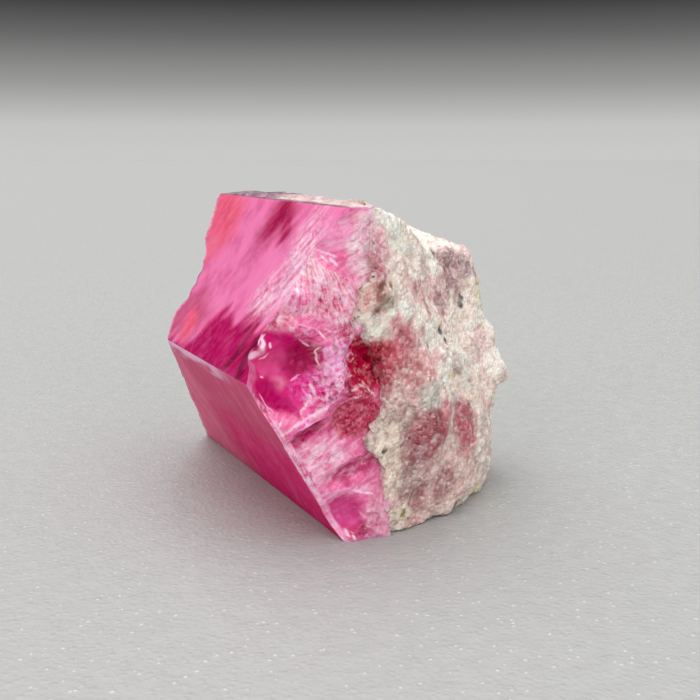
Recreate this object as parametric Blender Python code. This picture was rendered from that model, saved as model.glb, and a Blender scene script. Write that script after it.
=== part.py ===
"""A red beryl crystal on its piece of rhyolite matrix, about 12 x 15 x 10.5 mm.

The crystal is a stout hexagonal prism that lies on one of its prism faces. Its long (c) axis runs along
+Y. The -Y end is broken across, the +Y end keeps its flat basal face, and the +X side grew against rock.
The rock is one lumpy piece with a flat underside, a few pits, and a cut-flat contact face to the crystal.

Run it with: blender --background --python part.py
"""

import math

import bmesh
import bpy
import numpy as np
from mathutils import Matrix, Vector

MM = 0.001

# Driving dimensions of the crystal.
SIDE = 6.0 * MM  # side of the hexagon, so 12 mm across its corners
HEIGHT = math.sqrt(3) * SIDE  # across its flats, which is how high it stands on a prism face
BASAL_END = 2.45 * SIDE  # where the flat basal face closes the +Y end

# The rock stands clear of the crystal by this much along their contact.
CONTACT_GAP = 0.3 * MM

# Every place below is in hexagon sides: x across from the prism's middle line, y along it, z up from its base.

# The front break rests on three corners of the prism: the left edge, the lower left edge and the upper left edge.
BREAK_AT_LEFT = (-1.0, 0.060, 0.866)
BREAK_AT_LOWER = (-0.5, 0.000, 0.000)
BREAK_AT_UPPER = (-0.5, -0.058, 1.732)

# A second break takes the rear left corner off, through these points of the same three edges.
REAR_AT_LEFT = (-1.0, 1.60, 0.866)
REAR_AT_LOWER = (-0.5, 2.45, 0.000)
REAR_AT_UPPER = (-0.5, 2.04, 1.732)

# The contact with the rock is one steep plane: a point on it and its outward normal.
CONTACT_POINT = (-0.29, 0.0, 0.866)
CONTACT_NORMAL = (1.0, -0.10, 0.06)

# A chip along the top of the front break, to the right of the break's highest corner.
CHIP_POINT = (-0.55, -0.02, 1.56)
CHIP_NORMAL = (0.12, -0.74, 0.66)

# Shell-shaped hollows: name, middle of the mouth (x, z), half width, half height, depth, and turn in degrees.
# A hollow with a y is on the crystal's left side and not on the front break.
FRONT_HOLLOWS = (
    ("main_shell", (-0.765, 0.895), 0.185, 0.265, 0.130, 24.0),
    ("inner_shell", (-0.665, 0.735), 0.085, 0.105, 0.150, -35.0),
    ("dark_pit", (-0.375, 0.950), 0.085, 0.150, 0.110, 12.0),
    ("tip_shell", (-0.520, 0.175), 0.110, 0.125, 0.060, 38.0),
    ("step_shell", (-0.600, 0.420), 0.210, 0.085, 0.045, -24.0),
)

# A bite out of the sharp edge between the upper left prism face and the rear break: middle and half sizes.
BITE_MIDDLE = (-0.86, 2.04, 1.20)
BITE_HALF = (0.40, 0.46, 0.33)

# The rock is a rounded block about its middle, held by planes: a point on each and its outward normal.
ROCK_MIDDLE = (0.22, 1.05, 0.86)
ROCK_ROUNDING = 22.0
ROCK_PLANES = (
    ("front", (-0.25, -0.01, 0.40), (0.20, -0.98, -0.02)),
    ("front_right", (0.28, 0.12, 0.30), (0.62, -0.78, 0.02)),
    ("front_upper", (-0.29, 0.08, 1.70), (0.66, -0.70, 0.27)),
    ("top", (-0.30, 0.80, 1.755), (0.32, -0.03, 0.95)),
    ("top_right", (0.75, 0.80, 1.50), (0.81, -0.44, 0.38)),
    ("upper_right", (0.90, 0.70, 1.17), (0.84, -0.48, 0.25)),
    ("middle_right", (0.83, 0.60, 0.86), (0.84, -0.54, -0.06)),
    ("lower_right", (0.62, 0.40, 0.27), (0.73, -0.57, -0.36)),
    ("under_right", (0.43, 0.20, 0.12), (0.52, -0.55, -0.66)),
    ("right", (0.89, 1.00, 0.90), (0.98, 0.12, 0.10)),
    ("rear_right", (0.66, 1.75, 0.95), (0.70, 0.70, 0.12)),
    ("rear", (0.20, 2.16, 0.90), (0.05, 0.97, 0.20)),
    ("under", (0.10, 1.10, -0.08), (0.0, 0.0, -1.0)),
    ("left", (-0.95, 1.00, 0.90), (-1.0, 0.0, 0.0)),
)
# Lumps on it: size of a lump and height, in sides, then the seed of its pattern.
ROCK_LUMPS = ((0.62, 0.060, 11), (0.30, 0.034, 23), (0.15, 0.016, 37))
ROCK_DETAIL = 5  # icosphere subdivisions

# Knobs and pits on the rock: direction from its middle, half width, and height (a pit's is negative).
ROCK_SPOTS = (
    ("side_knob", (0.700, -0.300, -0.215), 0.080, 0.080),
    ("side_dent", (0.640, -0.330, -0.500), 0.170, -0.110),
    ("upper_dent", (0.10, -0.40, 0.72), 0.120, -0.040),
    ("corner_pit", (-0.26, -0.98, -0.66), 0.045, -0.050),
    ("middle_pit", (0.16, -0.85, -0.16), 0.060, -0.045),
    ("upper_pit", (0.30, -0.70, 0.48), 0.075, -0.045),
    ("lower_dent", (0.05, -0.95, -0.45), 0.160, -0.040),
    ("right_hollow", (0.92, 0.30, 0.10), 0.190, -0.100),
    ("right_pit", (0.80, 0.05, -0.45), 0.100, -0.060),
    ("rear_hollow", (0.15, 0.95, -0.10), 0.200, -0.090),
    ("rear_pit", (0.48, 0.80, 0.35), 0.100, -0.060),
    ("top_hollow", (0.30, 0.10, 0.95), 0.150, -0.060),
    ("top_knob", (-0.10, 0.42, 0.88), 0.170, 0.030),
)

CRYSTAL_COLOUR = (0.62, 0.02, 0.22, 1.0)
ROCK_COLOUR = (0.72, 0.60, 0.56, 1.0)


def place(sides):
    """A place given in hexagon sides, as a vector in metres."""
    return Vector(sides) * SIDE


def plane_through(a, b, c):
    """A point on the plane through three places, and its normal by the right-hand rule."""
    a, b, c = place(a), place(b), place(c)
    return a, (b - a).cross(c - a).normalized()


def finish(name, roughness, metallic, colour):
    """A plain material."""
    material = bpy.data.materials.new(name)
    material.use_nodes = True
    shader = material.node_tree.nodes["Principled BSDF"]
    shader.inputs["Base Color"].default_value = colour
    shader.inputs["Roughness"].default_value = roughness
    shader.inputs["Metallic"].default_value = metallic
    return material


def add_object(name, bm, material=None):
    """Puts a bmesh into the scene as an object."""
    mesh = bpy.data.meshes.new(name)
    bm.to_mesh(mesh)
    bm.free()
    obj = bpy.data.objects.new(name, mesh)
    bpy.context.scene.collection.objects.link(obj)
    if material:
        mesh.materials.append(material)
    return obj


def cut_away(bm, point, normal):
    """Removes what lies beyond the plane, and closes the cut with one flat face."""
    geometry = bm.verts[:] + bm.edges[:] + bm.faces[:]
    found = bmesh.ops.bisect_plane(
        bm, geom=geometry, dist=1e-8, plane_co=point, plane_no=normal, clear_outer=True
    )
    rim = [e for e in found["geom_cut"] if isinstance(e, bmesh.types.BMEdge)]
    if rim:
        bmesh.ops.edgeloop_fill(bm, edges=rim)


def carve(obj, cutters):
    """Takes the cutters out of the object with Boolean modifiers, and hides them."""
    for cutter in cutters:
        cutter.hide_render = True
        cutter.display_type = "WIRE"
        cut = obj.modifiers.new("carve_" + cutter.name, "BOOLEAN")
        cut.operation = "DIFFERENCE"
        cut.object = cutter


def ellipsoid(name, middle, half_sizes, turn=0.0):
    """A faceted ellipsoid, turned about the Y axis."""
    bm = bmesh.new()
    shape = (
        Matrix.Translation(middle)
        @ Matrix.Rotation(math.radians(turn), 4, "Y")
        @ Matrix.Diagonal((*half_sizes, 1.0))
    )
    bmesh.ops.create_icosphere(bm, subdivisions=4, radius=1.0, matrix=shape)
    return add_object(name, bm)


def break_height(x, z):
    """The y of the front break over a point (x, z) of the cross-section, in metres."""
    point, normal = plane_through(BREAK_AT_LOWER, BREAK_AT_UPPER, BREAK_AT_LEFT)
    return point.y - (normal.x * (x - point.x) + normal.z * (z - point.z)) / normal.y


def front_hollow(name, mouth, half_width, half_height, depth, turn):
    """A cutter for one shell: an ellipsoid, half as deep again as the shell, whose middle stands off the break."""
    x, z = mouth[0] * SIDE, mouth[1] * SIDE
    half_depth = 1.5 * depth * SIDE
    stand_off = half_depth - depth * SIDE
    widen = 1.0 / math.sqrt(1.0 - (stand_off / half_depth) ** 2)
    half_sizes = (half_width * SIDE * widen, half_depth, half_height * SIDE * widen)
    middle = Vector((x, break_height(x, z) - stand_off, z))
    return ellipsoid(name, middle, half_sizes, turn)


def build_crystal():
    """The hexagonal prism, with its breaks cut flat and its shells scooped out."""
    bm = bmesh.new()
    corners = []
    for k in range(6):
        angle = math.radians(60 * k)
        x, z = SIDE * math.cos(angle), SIDE * math.sin(angle) + HEIGHT / 2
        corners.append(bm.verts.new((x, -SIDE, z)))
    base = bm.faces.new(corners)
    swept = bmesh.ops.extrude_face_region(bm, geom=[base])
    moved = [v for v in swept["geom"] if isinstance(v, bmesh.types.BMVert)]
    bmesh.ops.translate(bm, verts=moved, vec=(0, SIDE + BASAL_END, 0))
    bmesh.ops.recalc_face_normals(bm, faces=bm.faces[:])

    point, normal = plane_through(BREAK_AT_LOWER, BREAK_AT_UPPER, BREAK_AT_LEFT)
    cut_away(bm, point, normal if normal.y < 0 else -normal)
    point, normal = plane_through(REAR_AT_LOWER, REAR_AT_UPPER, REAR_AT_LEFT)
    cut_away(bm, point, normal if normal.y > 0 else -normal)
    cut_away(bm, place(CONTACT_POINT), Vector(CONTACT_NORMAL))
    cut_away(bm, place(CHIP_POINT), Vector(CHIP_NORMAL))

    crystal = add_object("beryl_crystal", bm, finish("red_beryl", 0.12, 0.0, CRYSTAL_COLOUR))
    cutters = [front_hollow(*hollow) for hollow in FRONT_HOLLOWS]
    cutters.append(ellipsoid("edge_bite", place(BITE_MIDDLE), place(BITE_HALF)))
    carve(crystal, cutters)
    return crystal


def lattice_noise(points, cell, seed):
    """Smooth noise from -1 to 1: random values on a cubic lattice of that cell, blended between its corners."""
    size = 32
    table = np.random.default_rng(seed).uniform(-1.0, 1.0, (size, size, size))
    scaled = points / cell + size / 2
    low = np.floor(scaled).astype(int)
    part = scaled - low
    part = part * part * (3.0 - 2.0 * part)
    total = np.zeros(len(points))
    for corner in np.ndindex(2, 2, 2):
        index = (low + corner) % size
        weight = np.prod(np.where(corner, part, 1.0 - part), axis=1)
        total += weight * table[index[:, 0], index[:, 1], index[:, 2]]
    return total


def rock_surface(directions):
    """Points of the rock's surface along unit directions from its middle, in sides.

    The radius is the rounded minimum over the planes, 1 / (sum of (n.d / h)^k)^(1/k), then the lumps, knobs
    and pits move it in or out.
    """
    middle = np.array(ROCK_MIDDLE)
    total = np.zeros(len(directions))
    for _, point, normal in ROCK_PLANES:
        normal = np.array(normal) / np.linalg.norm(normal)
        reach = (np.array(point) - middle) @ normal
        total += np.clip(directions @ normal / reach, 0.0, None) ** ROCK_ROUNDING
    radius = total ** (-1.0 / ROCK_ROUNDING)
    for cell, height, seed in ROCK_LUMPS:
        radius = radius + height * lattice_noise(middle + directions * radius[:, None], cell, seed)
    for _, towards, half_width, height in ROCK_SPOTS:
        towards = np.array(towards) / np.linalg.norm(towards)
        off = np.arccos(np.clip(directions @ towards, -1.0, 1.0)) * radius
        radius = radius + height * np.exp(-((off / half_width) ** 2))
    return middle + directions * radius[:, None]


def build_rock():
    """The rock: an icosphere drawn out to its surface, cut flat where it stands and where the crystal grew."""
    bm = bmesh.new()
    bmesh.ops.create_icosphere(bm, subdivisions=ROCK_DETAIL, radius=1.0)
    directions = np.array([v.co.normalized() for v in bm.verts])
    for vert, co in zip(bm.verts, rock_surface(directions)):
        vert.co = place(co)
    normal = Vector(CONTACT_NORMAL).normalized()
    cut_away(bm, place(CONTACT_POINT) + CONTACT_GAP * normal, -normal)
    cut_away(bm, Vector((0, 0, 0)), Vector((0, 0, -1)))
    rock = add_object("rhyolite_matrix", bm, finish("rhyolite", 0.9, 0.0, ROCK_COLOUR))
    rock.data.shade_smooth()
    rock.data.set_sharp_from_angle(angle=math.radians(35))
    return rock


def stand_at_origin(objects):
    """Moves everything so that the origin is at the middle of the underside of the whole."""
    bpy.context.view_layer.update()
    graph = bpy.context.evaluated_depsgraph_get()
    corners = [Vector(c) for obj in objects for c in obj.evaluated_get(graph).bound_box]
    low = Vector([min(c[i] for c in corners) for i in range(3)])
    high = Vector([max(c[i] for c in corners) for i in range(3)])
    shift = Matrix.Translation(-Vector(((low.x + high.x) / 2, (low.y + high.y) / 2, low.z)))
    for obj in bpy.context.scene.objects:
        obj.matrix_world = shift @ obj.matrix_world
    print("moved by (mm)", [round(v / MM, 4) for v in shift.to_translation()])


def main():
    for obj in list(bpy.data.objects):
        bpy.data.objects.remove(obj)
    stand_at_origin([build_crystal(), build_rock()])


main()
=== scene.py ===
"""A red beryl crystal grown on rhyolite, dressed on its solids.

Both pieces are worked out on grids, in hexagon sides of the crystal's own frame: x across from the prism's
middle line, y along it from the broken end, z up from the face it lies on. to_row() brings them to the row.
"""

import math

import bpy
import numpy as np
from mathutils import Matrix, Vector


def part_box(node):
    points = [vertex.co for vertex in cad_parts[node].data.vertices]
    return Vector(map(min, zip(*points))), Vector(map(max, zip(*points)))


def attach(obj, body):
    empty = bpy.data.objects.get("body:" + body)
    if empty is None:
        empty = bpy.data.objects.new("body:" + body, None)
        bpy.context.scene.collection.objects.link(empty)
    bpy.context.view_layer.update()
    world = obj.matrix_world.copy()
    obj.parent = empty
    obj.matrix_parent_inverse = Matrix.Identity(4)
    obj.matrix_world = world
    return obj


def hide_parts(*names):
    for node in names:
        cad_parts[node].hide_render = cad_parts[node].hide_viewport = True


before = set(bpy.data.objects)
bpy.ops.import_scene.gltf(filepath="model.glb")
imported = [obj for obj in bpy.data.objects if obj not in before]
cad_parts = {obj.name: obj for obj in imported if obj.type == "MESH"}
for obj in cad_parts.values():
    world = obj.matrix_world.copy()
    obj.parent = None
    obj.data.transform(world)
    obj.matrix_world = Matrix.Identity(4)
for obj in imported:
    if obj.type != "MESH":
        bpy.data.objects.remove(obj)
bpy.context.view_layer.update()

# ---------------------------------------------------------------- sizes, all in hexagon sides but SIDE itself

SIDE = 0.006
ROOT3 = math.sqrt(3)
TOP = ROOT3
BASAL_END = 2.45

# Where the break crosses the three long edges of the crystal, and where the rear break does.
BREAK_AT = ((-1.0, 0.060, 0.866), (-0.5, 0.000, 0.000), (-0.5, -0.058, 1.732))
REAR_AT = ((-1.0, 1.60, 0.866), (-0.5, 2.45, 0.000), (-0.5, 2.04, 1.732))
CONTACT_POINT = (-0.29, 0.0, 0.866)
CONTACT_NORMAL = (1.0, -0.10, 0.06)
BITE_MIDDLE = (-0.86, 2.04, 1.20)
BITE_HALF = (0.40, 0.46, 0.33)

# Places (x, z) on the crystal's ends: where their rows shrink to, where the frosted fan spreads from, and the
# middle of a star of cracks.
CAP_MIDDLE = (-0.62, 0.87)
FAN_HEAD = (-0.645, 1.60)
STAR_MIDDLE = (-0.58, 0.83)
# Degrees by which the break's fine lines slant up to the right.
LINES_SLANT = math.degrees(0.6)
# How far inside the lower left face the bevel along the break starts to fade, and where it ends.
BEVEL_FADE = (0.028, 0.040)
# A shell acts as far as twice its own size, by the square of the distance.
SHELL_REACH = 4.0
# How widely a shell's edge is rounded, on the break and on the far end.
BREAK_JOIN = 0.012
REAR_JOIN = 0.010
# Ripples of the shells and of the bite: radians to a half width, and the place in it they spread from.
BREAK_RIPPLES = (22.0, -0.8, 0.6)
REAR_RIPPLES = (20.0, -0.9, 0.5)
BITE_RIPPLES = (26.0, -0.9, -0.5)
# Cosine and sine of the slant of the upper left face's wisps.
UPPER_FACE_FLOW = (0.77, 0.64)
# The crystal's grid: points to a ring, and rings on the break, along the sides and on the far end.
CRYSTAL_RING = 464
FRONT_ROWS = 118
SIDE_ROWS = 50
REAR_ROWS = 47
# Shares of a ring at which its corners lie, and the power by which the side rows crowd towards the break.
CORNER_SHARES = (0.0, 0.05, 0.345, 0.635, 0.68, 1.0)
SIDE_CROWDING = 1.4
# Edges that bend by more degrees than this are sharp.
CRYSTAL_SHARP = 38.0
# How far below the narrow top a point still counts as on it.
ON_TOP = 1e-6

# Relief of the break against the plane through BREAK_AT: place (x, z), reach, and how far back it lies.
BREAK_FORM = (
    ("left_corner", -1.00, 0.87, 0.05, 0.00),
    ("left_rim_low", -0.93, 1.00, 0.06, 0.11),
    ("left_rim", -0.87, 1.09, 0.06, 0.19),
    ("left_rim_high", -0.81, 1.18, 0.06, 0.17),
    ("fan_side", -0.76, 1.28, 0.06, 0.12),
    ("fan_shoulder", -0.69, 1.40, 0.06, 0.16),
    ("fan_top", -0.63, 1.52, 0.06, 0.16),
    ("upper_rim", -0.56, 1.64, 0.05, 0.09),
    ("upper_corner", -0.50, 1.73, 0.04, 0.00),
    ("chip_middle", -0.47, 1.62, 0.07, 0.06),
    ("chip_foot", -0.48, 1.46, 0.06, 0.07),
    ("upper_contact", -0.33, 1.52, 0.10, 0.09),
    ("fan_middle", -0.59, 1.35, 0.07, 0.05),
    ("fan_foot", -0.43, 1.17, 0.09, 0.04),
    ("pebble", -0.71, 1.27, 0.05, 0.08),
    ("lip", -0.73, 1.13, 0.05, 0.05),
    ("web", -0.53, 0.97, 0.05, 0.02),
    ("left_edge", -0.93, 0.74, 0.06, 0.01),
    ("crest_foot", -0.85, 0.58, 0.05, 0.00),
    ("crest_middle", -0.67, 0.71, 0.05, -0.03),
    ("crest_head", -0.51, 0.85, 0.05, -0.01),
    ("rose_slope", -0.44, 0.67, 0.08, 0.06),
    ("pale_slope", -0.68, 0.42, 0.09, 0.03),
    ("band", -0.42, 0.40, 0.09, 0.05),
    ("middle_contact", -0.27, 0.95, 0.08, 0.09),
    ("low_contact", -0.27, 0.45, 0.10, 0.08),
    ("step_brow", -0.50, 0.32, 0.05, 0.01),
    ("tip", -0.50, 0.14, 0.06, 0.02),
    ("tip_edge", -0.50, 0.00, 0.05, 0.00),
    ("fold", -0.30, 0.08, 0.08, 0.04),
)

# Shell-shaped hollows in the break: middle (x, z), half width, half height, depth, turn, ripple height.
BREAK_SHELLS = (
    ("main_shell", -0.785, 0.900, 0.172, 0.210, 0.130, 16.0, 0.0025),
    ("upper_shell", -0.705, 0.965, 0.115, 0.125, 0.125, 10.0, 0.0),
    ("left_shell", -0.895, 0.950, 0.060, 0.120, 0.115, 20.0, 0.0),
    ("dark_pit", -0.350, 0.955, 0.120, 0.135, 0.065, 12.0, 0.0),
    ("pit_floor", -0.380, 0.855, 0.095, 0.075, 0.055, 0.0, 0.0),
    ("tip_shell", -0.500, 0.150, 0.135, 0.115, 0.075, 38.0, 0.0020),
    ("step_shell", -0.440, 0.385, 0.170, 0.050, 0.050, 22.0, 0.0015),
    ("streak_shell", -0.700, 0.590, 0.130, 0.028, 0.040, 36.0, 0.0),
)

# Noise of two sizes, as layers: weight, cell along and across, and seed. It draws the edges of the break's
# areas ragged, makes the fan's fibres, the slanting lines and the bevel's nicks, and frays the other faces.
AREA_WOBBLE_X = ((0.026, 0.07, 0.07, 51), (0.016, 0.025, 0.025, 52))
AREA_WOBBLE_Z = ((0.026, 0.06, 0.06, 53), (0.016, 0.022, 0.022, 54))
FAN_FIBRES = ((1.0, 0.035, 0.16, 71), (0.6, 0.016, 0.08, 72))
SLANTING_LINES = ((1.0, 0.16, 0.012, 79), (0.7, 0.09, 0.024, 80))
BEVEL_NICKS = ((0.010, 0.05, 0.05, 87), (0.005, 0.015, 0.015, 88))
UPPER_FACE_WISPS = ((0.06, 0.045, 0.30, 101), (0.03, 0.020, 0.15, 102))
LOWER_FACE_WISPS = ((0.05, 0.20, 0.05, 103), (0.03, 0.06, 0.03, 104))
REAR_WOBBLE = ((0.030, 0.09, 0.09, 106), (0.014, 0.03, 0.03, 107))

# Low bumps of the break: height, middle (x, z), half width, half height, turn, softness of the edge.
BREAK_BUMPS = (
    (0.030, -0.395, 0.793, 0.060, 0.038, 5.0, 0.5),
    (0.020, -0.712, 1.262, 0.055, 0.050, 30.0, 0.3),
)

# Areas of the break: name, middle (x, z), half width, half height, turn in degrees, softness of the edge.
BREAK_AREAS = (
    ("facet", -0.575, 1.620, 0.100, 0.115, 0.0, 0.20),
    ("upper", -0.350, 1.520, 0.115, 0.240, 5.0, 0.30),
    ("upper", -0.340, 1.290, 0.100, 0.110, 0.0, 0.30),
    ("fan", -0.665, 1.430, 0.085, 0.150, 15.0, 0.20),
    ("fan", -0.600, 1.300, 0.165, 0.115, -20.0, 0.25),
    ("fan", -0.790, 1.225, 0.120, 0.075, 50.0, 0.30),
    ("fan", -0.500, 1.210, 0.110, 0.085, -30.0, 0.30),
    ("pebble", -0.715, 1.272, 0.060, 0.050, 30.0, 0.20),
    ("lip", -0.860, 1.150, 0.110, 0.045, 35.0, 0.40),
    ("lip", -0.690, 1.120, 0.120, 0.030, -5.0, 0.40),
    ("fan_rose", -0.560, 1.250, 0.070, 0.070, -20.0, 0.60),
    ("fan_rose", -0.770, 1.165, 0.060, 0.035, 30.0, 0.60),
    ("fan_spot", -0.565, 1.247, 0.022, 0.022, 0.0, 0.50),
    ("fan_spot", -0.612, 1.262, 0.028, 0.012, -20.0, 0.50),
    ("bevel_deep", -0.905, 0.765, 0.022, 0.060, 32.0, 0.50),
    ("hollow", -0.785, 0.905, 0.172, 0.206, 16.0, 0.14),
    # A lighter pink patch in the hollow: partly milky haze, partly painted sheen.
    ("hollow_haze_and_sheen", -0.818, 0.945, 0.085, 0.085, 0.0, 0.65),
    ("hollow_mist", -0.790, 0.830, 0.045, 0.030, 20.0, 0.80),
    ("hollow_dark", -0.672, 0.968, 0.082, 0.088, -20.0, 0.45),
    ("web_dark", -0.500, 1.105, 0.080, 0.045, -15.0, 0.60),
    ("hollow_low", -0.860, 0.790, 0.065, 0.065, -30.0, 0.55),
    ("hollow_low", -0.780, 0.735, 0.085, 0.032, -12.0, 0.60),
    ("rim", -0.942, 0.985, 0.026, 0.130, 8.0, 0.45),
    ("rim", -0.968, 0.870, 0.022, 0.070, 14.0, 0.50),
    # Painted glints: small bright spots on the hollow's left rim.
    ("painted_glint", -0.926, 1.062, 0.016, 0.042, -14.0, 0.50),
    ("painted_glint", -0.867, 1.050, 0.018, 0.038, 0.0, 0.50),
    ("painted_glint", -0.899, 1.000, 0.034, 0.020, 12.0, 0.50),
    ("painted_glint", -0.886, 0.742, 0.028, 0.010, -35.0, 0.60),
    ("chaos", -0.605, 0.818, 0.118, 0.094, 20.0, 0.35),
    ("web", -0.535, 0.965, 0.062, 0.130, -8.0, 0.35),
    ("vein", -0.570, 0.850, 0.014, 0.034, -24.0, 0.60),
    ("vein", -0.468, 1.052, 0.007, 0.045, -14.0, 0.60),
    ("vein", -0.575, 0.785, 0.044, 0.014, 38.0, 0.60),
    ("vein", -0.650, 0.735, 0.060, 0.010, 36.0, 0.60),
    ("vein", -0.600, 0.850, 0.036, 0.006, 50.0, 0.60),
    ("vein", -0.632, 0.800, 0.006, 0.034, 24.0, 0.60),
    ("pit", -0.370, 0.960, 0.105, 0.135, 12.0, 0.20),
    ("pit", -0.360, 0.860, 0.090, 0.075, 0.0, 0.25),
    ("window", -0.478, 0.818, 0.034, 0.036, -20.0, 0.35),
    ("crest", -0.646, 0.712, 0.215, 0.020, 41.0, 0.50),
    ("seam", -0.660, 0.672, 0.200, 0.008, 40.0, 0.60),
    ("grain", -0.398, 0.797, 0.060, 0.022, -6.0, 0.50),
    ("window", -0.388, 0.801, 0.013, 0.012, 0.0, 0.50),
    ("rose", -0.425, 0.665, 0.155, 0.100, 20.0, 0.25),
    ("streak", -0.710, 0.590, 0.115, 0.032, 36.0, 0.45),
    ("pale", -0.650, 0.430, 0.165, 0.115, 25.0, 0.30),
    ("band", -0.400, 0.395, 0.155, 0.045, 22.0, 0.35),
    ("brow", -0.490, 0.262, 0.165, 0.024, 10.0, 0.50),
    ("tip", -0.500, 0.130, 0.125, 0.105, 38.0, 0.18),
    ("tip_low", -0.430, 0.050, 0.100, 0.040, 12.0, 0.60),
    ("fold", -0.290, 0.130, 0.085, 0.150, 0.0, 0.30),
)
# Grainy areas of the break: name, grain size, strength of the light and dark grains, how rare the light ones
# are from 0 to 1, the light ones' colour, and seed.
# The light grains are partly pale grains of the crystal and partly painted sparkle; in the pit they are
# painted golden sparkle.
BREAK_GRAINS = (
    ("chaos", 0.018, 0.90, 0.30, (1.00, 0.60, 0.86), 171),
    ("pit", 0.013, 0.85, 0.55, (1.00, 0.76, 0.70), 172),
    ("upper", 0.030, 0.25, 0.20, (1.00, 0.88, 0.93), 173),
    ("web", 0.018, 1.00, 0.30, (1.00, 0.84, 0.94), 174),
    ("rose", 0.011, 0.80, 0.30, (0.88, 0.50, 0.58), 175),
    ("pale", 0.015, 0.50, 0.40, (1.00, 0.88, 0.93), 176),
    ("fan", 0.014, 0.60, 0.25, (1.00, 0.90, 0.94), 177),
    ("fan_rose", 0.011, 0.80, 0.35, (1.00, 0.86, 0.90), 186),
    ("grain", 0.012, 0.80, 0.45, (1.00, 0.84, 0.84), 178),
    ("bevel", 0.016, 0.60, 0.35, (1.00, 0.92, 0.96), 183),
    ("lip", 0.020, 0.50, 0.35, (1.00, 0.88, 0.94), 184),
    ("crest", 0.012, 0.60, 0.40, (1.00, 0.92, 0.98), 185),
    ("fold", 0.024, 0.40, 0.40, (1.00, 0.88, 0.93), 179),
    ("facet", 0.012, 0.80, 0.80, (1.00, 0.92, 0.96), 180),
    ("tip", 0.012, 0.50, 0.80, (1.00, 0.86, 0.94), 181),
)
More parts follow.
